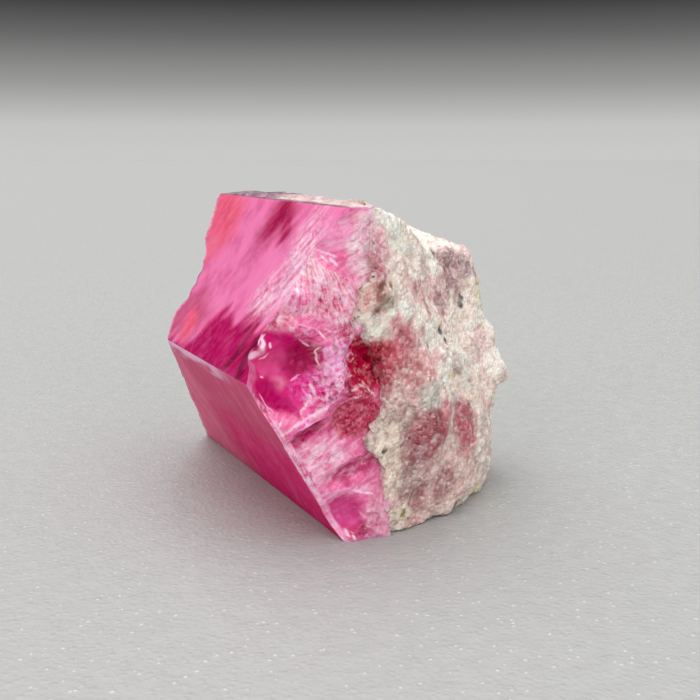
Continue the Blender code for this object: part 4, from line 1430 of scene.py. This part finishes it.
def times(tree, first, second):
    """The product of two values."""
    return calculate(tree, "MULTIPLY", first, second)


def blended_sum(tree, first, first_weight, second, second_weight):
    """Two values, each times its weight, added."""
    return calculate(tree, "ADD", times(tree, first, first_weight), times(tree, second, second_weight))


def combine(tree, operation, first, second):
    """One sum or difference of two vectors."""
    return add_node(tree, "ShaderNodeVectorMath", {0: first, 1: second}, operation=operation).outputs[0]


def stretched(tree, vector, factor):
    """A vector times a value."""
    return add_node(tree, "ShaderNodeVectorMath", {0: vector, "Scale": factor}, operation="SCALE").outputs[0]


def new_group(name, inputs, outputs):
    """An empty node group with these sockets: its tree, what it is given, and the node for its results."""
    tree = bpy.data.node_groups.new(name, "ShaderNodeTree")
    for names, side in ((inputs, "INPUT"), (outputs, "OUTPUT")):
        for socket in names:
            kind = "NodeSocketVector" if socket in VECTOR_SOCKETS else "NodeSocketFloat"
            tree.interface.new_socket(socket, in_out=side, socket_type=kind)
    return tree, tree.nodes.new("NodeGroupInput").outputs, tree.nodes.new("NodeGroupOutput")


def add_group(tree, group, scale, place, **values):
    """A node group in a material, over the places given, at that scale in cells to a metre."""
    given = {"Vector": place, "Scale": scale, **values}
    return add_node(tree, "ShaderNodeGroup", given, node_tree=group).outputs


def grit_group():
    """Granular stuff of a given pitch: Grain swells in the middle of each grain, Shade differs from one grain
    to the next, Mottle is soft noise over a few grains, and Specks marks the middles of a few grains.
    """
    tree, given, result = new_group("grit", ("Vector", "Scale"), ("Grain", "Shade", "Mottle", "Specks"))
    place = given["Vector"]
    scale = given["Scale"]
    jolt = add_node(tree, "ShaderNodeTexNoise", {"Vector": place, "Scale": times(tree, scale, 1.7)})
    shift = stretched(tree, jolt.outputs["Color"], calculate(tree, "DIVIDE", 0.55, scale))
    moved = combine(tree, "ADD", place, shift)
    cells = add_node(tree, "ShaderNodeTexVoronoi", {"Vector": moved, "Scale": scale}).outputs
    parts = add_node(tree, "ShaderNodeSeparateColor", {"Color": cells["Color"]}).outputs
    soft = {"Vector": place, "Scale": times(tree, scale, 0.31), "Detail": 3.0}
    chosen = calculate(tree, "GREATER_THAN", parts[1], 0.86)
    feed_all(tree, result, {
        "Grain": spread(tree, cells["Distance"], 0.65, 0.05),
        "Shade": parts[0],
        "Mottle": add_node(tree, "ShaderNodeTexNoise", soft).outputs["Fac"],
        "Specks": times(tree, chosen, spread(tree, cells["Distance"], 0.30, 0.15)),
    })
    return tree


def sparkle_group():
    """Tiny flat facets of a given pitch: Normal is the given normal, Own, tipped anew in every facet."""
    tree, given, result = new_group("sparkle", ("Vector", "Scale", "Tilt", "Own"), ("Normal",))
    over = {"Vector": given["Vector"], "Scale": given["Scale"]}
    cells = add_node(tree, "ShaderNodeTexVoronoi", over).outputs
    centred = combine(tree, "SUBTRACT", cells["Color"], (0.5, 0.5, 0.5))
    total = combine(tree, "ADD", given["Own"], stretched(tree, centred, given["Tilt"]))
    unit = add_node(tree, "ShaderNodeVectorMath", {0: total}, operation="NORMALIZE")
    feed(tree, result.inputs["Normal"], unit.outputs[0])
    return tree


def crack_group():
    """Cracked glass of a given pitch: Lines marks stretches of thin seams between bent plates, and Plates
    differs from one plate to the next.
    """
    tree, given, result = new_group("cracks", ("Vector", "Scale"), ("Lines", "Plates"))
    place = given["Vector"]
    scale = given["Scale"]
    bend = {"Vector": place, "Scale": times(tree, scale, 0.7), "Detail": 3.0}
    bent = add_node(tree, "ShaderNodeTexNoise", bend).outputs
    shift = stretched(tree, bent["Color"], calculate(tree, "DIVIDE", 1.4, scale))
    over = {"Vector": combine(tree, "ADD", place, shift), "Scale": scale}
    seams = add_node(tree, "ShaderNodeTexVoronoi", over, feature="DISTANCE_TO_EDGE").outputs
    plates = add_node(tree, "ShaderNodeTexVoronoi", over).outputs
    thin = spread(tree, seams["Distance"], 0.045, 0.0)
    feed_all(tree, result, {
        "Lines": times(tree, thin, spread(tree, bent["Fac"], 0.50, 0.60)),
        "Plates": add_node(tree, "ShaderNodeSeparateColor", {"Color": plates["Color"]}).outputs[0],
    })
    return tree


def own_place(tree):
    """The object's own coordinates."""
    return add_node(tree, "ShaderNodeTexCoord").outputs["Object"]


def flow_place(tree):
    """The object's own coordinates, turned and shortened along the rock's flow."""
    turn = {"Vector": own_place(tree), "Rotation": (0.0, 0.0, math.radians(FLOW_TURN))}
    level = add_node(tree, "ShaderNodeMapping", turn).outputs[0]
    return add_node(tree, "ShaderNodeMapping", {"Vector": level, "Scale": (1.0, FLOW_DRAW, 1.0)}).outputs[0]


def point_value(tree, name, output="Fac"):
    """One of the piece's own point attributes."""
    return add_node(tree, "ShaderNodeAttribute", attribute_name=name).outputs[output]


def new_material(name):
    """A material with its tree and its Principled shader."""
    material = bpy.data.materials.new(name)
    material.use_nodes = True
    return material, material.node_tree, material.node_tree.nodes["Principled BSDF"]


def crystal_colour(tree, tint, frost, wisps, streak, specks, cracks, place):
    """The milky shader's colour: the tint under wisps, and where it is frosted also under streaks of the
    fibres, duller and keener plates between cracks, their pale seams, and specks of painted sparkle.
    """
    large = add_group(tree, cracks, 3800.0, place)
    small = add_group(tree, cracks, 9000.0, place)
    pale_streaks = times(tree, spread(tree, streak, 0.48, 0.66, 0.0, 0.85), frost)
    deep_streaks = times(tree, spread(tree, streak, 0.50, 0.34, 0.0, 0.80), frost)
    dull_plates = times(tree, spread(tree, large["Plates"], 0.55, 0.0, 0.0, 0.60), frost)
    keen_plates = times(tree, spread(tree, small["Plates"], 0.70, 1.0, 0.0, 0.40), frost)
    seams = calculate(tree, "MAXIMUM", large["Lines"], times(tree, small["Lines"], 0.5))
    return layered(tree, tint, (
        (spread(tree, wisps, 0.50, 0.72, 0.0, 0.15), (1.0, 0.36, 0.62), "MIX"),
        (spread(tree, wisps, 0.50, 0.30, 0.0, 0.50), (0.86, 0.44, 0.60), "MULTIPLY"),
        (pale_streaks, (1.0, 0.76, 0.85), "MIX"),
        (deep_streaks, (0.86, 0.30, 0.50), "MULTIPLY"),
        (dull_plates, (0.86, 0.40, 0.60), "MULTIPLY"),
        (keen_plates, (1.0, 0.70, 0.82), "MIX"),
        (times(tree, seams, spread(tree, frost, 0.0, 0.5, 0.0, 0.60)), (1.0, 0.82, 0.89), "MIX"),
        # Specks: painted sparkle.
        (times(tree, specks, frost), (1.0, 0.95, 0.96), "MIX"),
    ))


def crystal_relief(tree, frost, relief, sparkle, place):
    """The milky shader's normal: where it is frosted, tipped facets of two sizes and a bump of the relief."""
    surface = add_node(tree, "ShaderNodeNewGeometry").outputs["Normal"]
    broad = add_group(tree, sparkle, 3800.0, place, Tilt=times(tree, frost, 0.35), Own=surface)["Normal"]
    facet = add_group(tree, sparkle, 11000.0, place, Tilt=times(tree, frost, 0.55), Own=broad)["Normal"]
    bump = {"Strength": 0.6, "Distance": 0.00006, "Height": times(tree, relief, frost), "Normal": facet}
    return add_node(tree, "ShaderNodeBump", bump).outputs["Normal"]


def crystal_finish(grit, sparkle, cracks):
    """Clear red beryl that turns milky where it is cracked or frosted.

    The tint, the milkiness and the run of the fibres come from the piece's points; soft clouds, noise
    stretched along the fibres and fine grit break them up, and one mask mixes the clear and the milky shader.
    """
    material, tree, clear = new_material("red_beryl_glass")
    tint = point_value(tree, "tint", "Color")
    frost = point_value(tree, "frost")
    place = own_place(tree)
    fine = add_group(tree, grit, 14000.0, place)
    lines = {"Vector": point_value(tree, "fibre", "Vector"), "Scale": 1.0, "Detail": 1.5, "Roughness": 0.5}
    fibre = add_node(tree, "ShaderNodeTexNoise", lines).outputs["Fac"]
    soft = {"Vector": place, "Scale": 1100.0, "Detail": 4.0, "Roughness": 0.55}
    cloud = add_node(tree, "ShaderNodeTexNoise", soft).outputs["Fac"]
    streak = blended_sum(tree, fibre, 0.7, fine["Mottle"], 0.3)
    wisps = blended_sum(tree, cloud, 0.85, fibre, 0.15)
    relief = blended_sum(tree, fibre, 0.7, fine["Grain"], 0.3)

    worn = spread(tree, times(tree, spread(tree, streak, 0.30, 0.70), frost), 0.0, 1.0, 0.16, 0.40)
    satin = spread(tree, point_value(tree, "satin"), 0.0, 1.0, 0.0, 0.72)
    milky = add_node(tree, "ShaderNodeBsdfPrincipled", {
        "Base Color": crystal_colour(tree, tint, frost, wisps, streak, fine["Specks"], cracks, place),
        "Roughness": calculate(tree, "MAXIMUM", worn, satin),
        "Specular IOR Level": 0.22,
        "Specular Tint": (1.0, 0.46, 0.70),
        "Subsurface Weight": 0.45,
        "Subsurface Radius": (1.0, 0.25, 0.50),
        "Subsurface Scale": 0.0006,
        "Normal": crystal_relief(tree, frost, relief, sparkle, place),
    })
    feed_all(tree, clear, {
        "Base Color": blend(tree, 0.45, (1.0, 1.0, 1.0), tint),
        "Transmission Weight": 1.0,
        "IOR": 1.57,
        "Roughness": 0.03,
        "Specular Tint": (1.0, 0.22, 0.58),
    })
    share = calculate(tree, "ADD", point_value(tree, "milk"), spread(tree, cloud, 0.35, 0.65, -0.12, 0.12))
    mask = spread(tree, share, 0.0, 0.90, 0.42, 1.0)
    mix = add_node(tree, "ShaderNodeMixShader", {0: mask, 1: clear.outputs["BSDF"], 2: milky.outputs["BSDF"]})
    absorb = add_node(tree, "ShaderNodeVolumeAbsorption", {"Color": (0.945, 0.02, 0.62), "Density": 380.0})
    surface_and_volume = {"Surface": mix.outputs["Shader"], "Volume": absorb.outputs["Volume"]}
    feed_all(tree, tree.nodes["Material Output"], surface_and_volume)
    return material


def rock_finish(grit, sparkle):
    """Granular rhyolite: the points' tint, each grain a little lighter or darker, and dark gaps."""
    material, tree, shader = new_material("rhyolite_crust")
    tint = point_value(tree, "tint", "Color")
    place = flow_place(tree)
    fine = add_group(tree, grit, 7500.0, place)
    green = add_node(tree, "ShaderNodeSeparateColor", {"Color": tint}).outputs[1]
    keep = spread(tree, green, 0.0, 0.35, 0.45, 1.0)
    colour = layered(tree, tint, (
        (times(tree, spread(tree, fine["Shade"], 0.40, 1.0, 0.0, 0.45), keep), (1.0, 0.96, 0.91), "MIX"),
        (spread(tree, fine["Shade"], 0.30, 0.0, 0.0, 0.40), tint, "MULTIPLY"),
        (times(tree, spread(tree, fine["Grain"], 0.30, 0.0), 0.25), (0.55, 0.38, 0.36), "MULTIPLY"),
        (times(tree, point_value(tree, "gap"), 0.45), (0.48, 0.33, 0.31), "MULTIPLY"),
        (spread(tree, fine["Mottle"], 0.42, 0.30, 0.0, 0.5), (0.78, 0.60, 0.60), "MULTIPLY"),
        # Light specks: painted glints.
        (times(tree, times(tree, fine["Specks"], 0.6), keep), (1.0, 0.99, 0.96), "MIX"),
    ))
    surface = add_node(tree, "ShaderNodeNewGeometry").outputs["Normal"]
    facet = add_group(tree, sparkle, 8500.0, place, Tilt=0.40, Own=surface)["Normal"]
    height = calculate(tree, "ADD", fine["Grain"], times(tree, fine["Mottle"], 0.8))
    bump = {"Strength": 0.7, "Distance": 0.00007, "Height": height, "Normal": facet}
    feed_all(tree, shader, {
        "Base Color": colour,
        "Roughness": spread(tree, fine["Shade"], 0.0, 1.0, 0.40, 0.80),
        "Normal": add_node(tree, "ShaderNodeBump", bump).outputs["Normal"],
    })
    return material


def floor_finish(grit):
    """Plain pale matt grey with a fine pebbled grain."""
    material, tree, shader = new_material("plain_floor")
    fine = add_group(tree, grit, 5200.0, own_place(tree))
    mottle = spread(tree, fine["Mottle"], 0.30, 0.70)
    grey = blend(tree, mottle, (0.385, 0.385, 0.380), (0.414, 0.414, 0.407))
    bump = {"Strength": 0.35, "Distance": 0.00006, "Height": fine["Grain"]}
    feed_all(tree, shader, {
        # Light specks: painted sparkle.
        "Base Color": blend(tree, times(tree, fine["Specks"], 0.35), grey, (0.9, 0.9, 0.9)),
        "Roughness": spread(tree, fine["Shade"], 0.0, 1.0, 0.45, 0.75),
        "Normal": add_node(tree, "ShaderNodeBump", bump).outputs["Normal"],
    })
    return material


# ---------------------------------------------------------------- stage, lights and camera

# The surroundings' brightness by the sine of the height above the horizon.
WORLD_STOPS = (
    (0.000, (0.585, 0.585, 0.575)),
    (0.024, (0.560, 0.560, 0.550)),
    (0.060, (0.320, 0.320, 0.315)),
    (0.100, (0.135, 0.137, 0.134)),
    (0.137, (0.025, 0.026, 0.025)),
    (0.300, (0.035, 0.035, 0.035)),
    (0.460, (0.420, 0.422, 0.425)),
    (0.650, (1.250, 1.255, 1.260)),
    (1.000, (1.450, 1.450, 1.450)),
)
# Soft lights that face the origin: name, place and size in metres, and watts.
LIGHTS = (
    ("overhead", (-0.4, 3.4, 6.2), (6.0, 6.0), 195.0),
    ("left_key", (-5.6, -3.4, 2.9), (3.6, 3.6), 100.0),
    ("front_fill", (0.6, -7.0, 2.0), (4.0, 3.0), 155.0),
)
FLOOR_RING = 96
FLOOR_RADII = 0.01 * 1.6 ** np.arange(12)
CAMERA_PLACE = (-2.717, -4.975, 1.995)
CAMERA_HEADING = 24.27
CAMERA_PITCH = 10.166
# The lens's focal length over the width of its sensor.
FOCAL_WIDTHS = 1100.0 / 700.0
SENSOR_WIDTH = 36.0


def build_floor(grit):
    """A flat round floor: rings whose radii grow by a constant factor from the middle."""
    turn = 2.0 * math.pi * np.arange(FLOOR_RING) / FLOOR_RING
    x = FLOOR_RADII[:, None] * np.cos(turn)
    y = FLOOR_RADII[:, None] * np.sin(turn)
    points = np.stack([x, y, np.zeros_like(x)], -1).reshape(-1, 3)
    points = np.concatenate([np.zeros((1, 3)), points])
    fan, quads = ring_faces(FLOOR_RING, len(FLOOR_RADII) - 1)
    mesh = bpy.data.meshes.new("floor")
    mesh.from_pydata(points.tolist(), [], fan.tolist() + quads.tolist())
    floor = bpy.data.objects.new("floor", mesh)
    bpy.context.scene.collection.objects.link(floor)
    mesh.materials.append(floor_finish(grit))


def area_light(name, place, size, power):
    """A soft rectangular light at a place, facing the origin."""
    data = bpy.data.lights.new(name, "AREA")
    data.shape = "RECTANGLE"
    data.size, data.size_y = size
    data.energy = power
    light = bpy.data.objects.new(name, data)
    light.location = place
    light.rotation_euler = (-Vector(place)).to_track_quat("-Z", "Y").to_euler()
    bpy.context.scene.collection.objects.link(light)


def build_world():
    """Studio surroundings by height: a dim band above the horizon, and a bright even ceiling over it."""
    world = bpy.data.worlds.new("studio")
    bpy.context.scene.world = world
    world.use_nodes = True
    tree = world.node_tree
    direction = add_node(tree, "ShaderNodeTexCoord").outputs["Generated"]
    height = add_node(tree, "ShaderNodeSeparateXYZ", {"Vector": direction}).outputs["Z"]
    ramp = add_node(tree, "ShaderNodeValToRGB", {"Fac": height})
    stops = ramp.color_ramp.elements
    for stop, (place, colour) in zip(stops, (WORLD_STOPS[0], WORLD_STOPS[-1])):
        stop.position = place
        stop.color = (*colour, 1.0)
    for place, colour in WORLD_STOPS[1:-1]:
        stops.new(place).color = (*colour, 1.0)
    feed_all(tree, tree.nodes["Background"], {"Color": ramp.outputs["Color"], "Strength": 1.0})


def build_camera():
    """The camera, low in front of the crystal's left edge, looking a little down at it."""
    data = bpy.data.cameras.new("camera")
    data.sensor_width = SENSOR_WIDTH
    data.lens = SENSOR_WIDTH * FOCAL_WIDTHS
    data.clip_start = 0.001
    camera = bpy.data.objects.new("camera", data)
    heading = math.radians(CAMERA_HEADING)
    pitch = math.radians(CAMERA_PITCH)
    camera.location = to_row(np.array(CAMERA_PLACE))
    level = math.cos(pitch)
    ahead = Vector((math.sin(heading) * level, math.cos(heading) * level, -math.sin(pitch)))
    camera.rotation_euler = ahead.to_track_quat("-Z", "Y").to_euler()
    bpy.context.scene.collection.objects.link(camera)
    bpy.context.scene.camera = camera


# ---------------------------------------------------------------- the scene

build_camera()
bpy.context.scene.view_settings.view_transform = "Standard"
build_world()
for name, place, size, power in LIGHTS:
    area_light(name, place, size, power)

grit = grit_group()
sparkle = sparkle_group()
build_floor(grit)

crystal = build_crystal()
crystal.data.materials.append(crystal_finish(grit, sparkle, crack_group()))
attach(crystal, "root")
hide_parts("beryl_crystal")

rock = build_rock()
rock.data.materials.append(rock_finish(grit, sparkle))
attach(rock, "root")
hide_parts("rhyolite_matrix")
